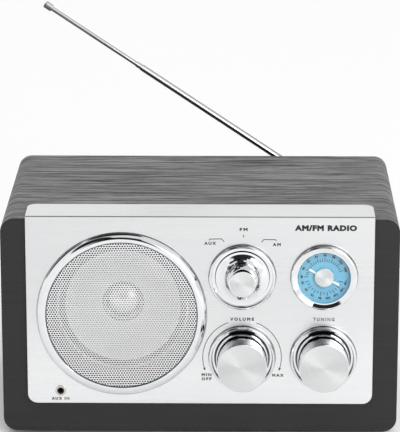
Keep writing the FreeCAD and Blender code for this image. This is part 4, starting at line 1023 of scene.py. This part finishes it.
def makeGrille():
    # a sheet of six-sided cells, each with a round hole, in a turned-back rim
    values = grilleValues
    low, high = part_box("speaker_grille")
    front, back = low.y, low.y + values["thick"]
    pitch, hole = values["pitch"], values["holeRadius"]
    rowStep = pitch * math.sqrt(3) / 2
    cornerReach = pitch / math.sqrt(3)
    tilt = math.radians(values["tilt"])
    work = bmesh.new()
    known = {}

    def corner(x, z, y):
        key = (round(x * 1e6), round(z * 1e6), y)
        if key not in known:
            known[key] = work.verts.new((
                speakerSpot.x + x * math.cos(tilt) - z * math.sin(tilt), y,
                speakerSpot.z + x * math.sin(tilt) + z * math.cos(tilt),
            ))
        return known[key]

    rows = int(values["holesReach"] / rowStep) + 1
    for row in range(-rows, rows + 1):
        z = row * rowStep
        for column in range(-rows, rows + 1):
            x = (column + (row % 2) / 2) * pitch
            if math.hypot(x, z) > values["holesReach"]:
                continue
            walls = {}
            for y in (front, back):
                outside = []
                for side in range(6):
                    angle = math.radians(30 + 60 * side)
                    outX, outZ = cornerReach * math.cos(angle), cornerReach * math.sin(angle)
                    outside.append(corner(x + outX, z + outZ, y))
                walls[y] = []
                for side in range(12):
                    angle = math.radians(30 + 30 * side)
                    walls[y].append(corner(x + hole * math.cos(angle), z + hole * math.sin(angle), y))
                for side in range(6):
                    after = (side + 1) % 6
                    inside = [walls[y][(2 * side + place) % 12] for place in (2, 1, 0)]
                    work.faces.new([outside[side], outside[after], *inside])
            for side in range(12):
                after = (side + 1) % 12
                work.faces.new([
                    walls[front][side], walls[front][after], walls[back][after], walls[back][side],
                ])
    cells = len(work.faces)
    edgeSteps = values["edgeSteps"]
    soft, edge = values["edgeSoft"], values["edgeRadius"]
    rim = [
        (edge - soft, front), (edge - 0.3 * soft, front + 0.3 * soft), (edge, front + soft),
        (edge, high.y), (edge - values["rimThick"], high.y), (edge - values["rimThick"], back),
    ]
    rings = []
    for radius, y in rim:
        ring = []
        for step in range(edgeSteps):
            angle = 2 * math.pi * step / edgeSteps
            ring.append(corner(radius * math.cos(angle), radius * math.sin(angle), y))
        rings.append(ring)
    for near, far in zip(rings, rings[1:]):
        for step in range(edgeSteps):
            after = (step + 1) % edgeSteps
            work.faces.new([near[step], near[after], far[after], far[step]])
    work.edges.ensure_lookup_table()
    for y in (front, back):
        border = [
            line for line in work.edges
            if len(line.link_faces) == 1 and all(abs(vert.co.y - y) < 1e-7 for vert in line.verts)
        ]
        bmesh.ops.triangle_fill(work, use_beauty=True, use_dissolve=False, edges=border)
    bmesh.ops.recalc_face_normals(work, faces=work.faces)
    points = [vert.co.copy() for vert in work.verts]
    work.verts.index_update()
    faces = [tuple(vert.index for vert in face.verts) for face in work.faces]
    loose = sum(len(line.link_faces) != 2 for line in work.edges)
    work.free()
    print("grille:", cells // 24, "holes,", loose, "open edges")
    return points, faces


addPiece(
    "perforated_grille", makeGrille(), "cabinet", grilleMetal,
    ("speaker_grille",), welded=True,
)


legendValues = {
    "proud": 0.03 * mm,
    "line": 0.55 * mm,
    # text, left, right, low, high (mm; heights above the cabinet's underside), boldness, letter spacing
    "words": (
        ("AM/FM RADIO", 66.2, 109.6, 149.7, 154.0, 0.072, 1.15),
        ("VOLUME", 21.3, 38.1, 83.7, 86.1, 0.058, 1.6),
        ("TUNING", 79.8, 94.8, 83.6, 86.2, 0.030, 1.5),
        ("FM", 27.7, 33.3, 149.5, 151.8, 0.058, 1.45),
        ("AUX", 3.0, 11.2, 139.4, 141.7, 0.058, 1.45),
        ("AM", 50.9, 56.5, 138.6, 140.9, 0.058, 1.45),
        ("MIN", 1.2, 8.2, 42.3, 44.5, 0.058, 1.45),
        ("OFF", 1.2, 8.2, 39.2, 41.4, 0.058, 1.45),
        ("MAX", 51.2, 59.3, 42.1, 44.3, 0.058, 1.45),
        ("AUX IN", -105.4, -92.8, 24.1, 26.3, 0.058, 1.45),
    ),
    "brackets": (
        ((6.7, 142.7), (6.7, 143.6), (15.1, 143.8), (17.0, 141.7)),
        ((53.2, 142.4), (53.2, 143.3), (44.6, 143.4), (43.1, 141.5)),
    ),
    "fmTick": ((30.5, 144.9), (30.5, 146.8)),
    "arcRadius": 27.8 * mm,
    "arcs": ((111, 196), (69, -16)),
    "arrowLong": 2.3 * mm,
    "arrowHalf": 0.95 * mm,
}


def makeLegends():
    values = legendValues
    front, back = panelFace - values["proud"], panelFace
    shapes = []
    for text, left, right, low, high, bold, spacing in values["words"]:
        shapes.append(word(
            text, left * mm, right * mm, cabinetBase + low * mm, cabinetBase + high * mm,
            front, values["proud"], bold, spacing,
        ))
    for points in values["brackets"]:
        spots = [(x * mm, cabinetBase + up * mm) for x, up in points]
        for start, end in zip(spots, spots[1:]):
            shapes.append(slab(stroke(start, end, values["line"]), front, back))
    start, end = [(x * mm, cabinetBase + up * mm) for x, up in values["fmTick"]]
    shapes.append(slab(stroke(start, end, values["line"]), front, back))
    middle = (volumeSpot.x, volumeSpot.z)
    for first, last in values["arcs"]:
        arc = arcBand(middle, values["arcRadius"], values["line"] * 0.9, first, last)
        shapes.append(slab(arc, front, back))
        angle = math.radians(last)
        way = Vector((-math.sin(angle), math.cos(angle))) * (1 if last > first else -1)
        out = Vector((math.cos(angle), math.sin(angle)))
        base = Vector(middle) + out * values["arcRadius"]
        tip = base + way * values["arrowLong"]
        half = out * values["arrowHalf"]
        shapes.append(slab([tuple(tip), tuple(base + half), tuple(base - half)], front, back))
    return joined(*shapes)


addPiece("panel_legends", makeLegends(), "cabinet", legendInk)


dialPrint = {
    "proud": 0.03 * mm,
    "innerRadius": 11.0 * mm,
    "shortTick": 2.1 * mm,
    "longTick": 3.1 * mm,
    "tickWidth": 0.54 * mm,
    "numberRadius": 15.7 * mm,
    "numberTall": 1.75 * mm,
    "digitWide": 1.15 * mm,
    # numbers, first and last angle (degrees from +X towards +Z), ticks between numbers
    "scales": (
        (("88", "90", "92", "94", "96", "98", "102", "108"), 180.0, 20.0, 3),
        (("53", "60", "70", "80", "100", "120", "140", "160"), 196.0, 344.0, 2),
    ),
}


def makeDialPrint():
    values = dialPrint
    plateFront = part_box("dial_plate")[0].y
    front, back = plateFront - values["proud"], plateFront
    middle = Vector((dialSpot.x, dialSpot.z))
    shapes = []
    for numbers, first, last, between in values["scales"]:
        steps = (len(numbers) - 1) * between
        for step in range(steps + 1):
            angle = math.radians(first + (last - first) * step / steps)
            out = Vector((math.cos(angle), math.sin(angle)))
            long = step % between == 0
            reach = values["longTick"] if long else values["shortTick"]
            start = middle + out * values["innerRadius"]
            shapes.append(slab(stroke(start, start + out * reach, values["tickWidth"]), front, back))
            if not long:
                continue
            text = numbers[step // between]
            wide = values["digitWide"] * len(text) / 2
            tall = values["numberTall"] / 2
            made = word(text, -wide, wide, -tall, tall, front, values["proud"], 0.09, 1.1)
            turn = Matrix.Rotation(math.pi / 2 - angle, 4, "Y")
            spot = middle + out * values["numberRadius"]
            shapes.append(moved(made, Matrix.Translation((spot.x, 0, spot.y)) @ turn))
    return joined(*shapes)


addPiece("dial_numbers", makeDialPrint(), "cabinet", dialInk)
print("printing made")


floorValues = {"half": 6.0, "colour": (0.93, 0.93, 0.93)}


def makeFloor():
    half = floorValues["half"]
    data = bpy.data.meshes.new("StudioFloor")
    corners = [(-half, -half, 0), (half, -half, 0), (half, half, 0), (-half, half, 0)]
    data.from_pydata(corners, [], [(0, 1, 2, 3)])
    floor = bpy.data.objects.new("StudioFloor", data)
    bpy.context.scene.collection.objects.link(floor)
    finish, tree, shader, spot = startFinish("FloorPaper", Roughness=0.9)
    shader.inputs["Base Color"].default_value = (*floorValues["colour"], 1)
    shader.inputs["Specular IOR Level"].default_value = 0.1
    data.materials.append(finish)


makeFloor()
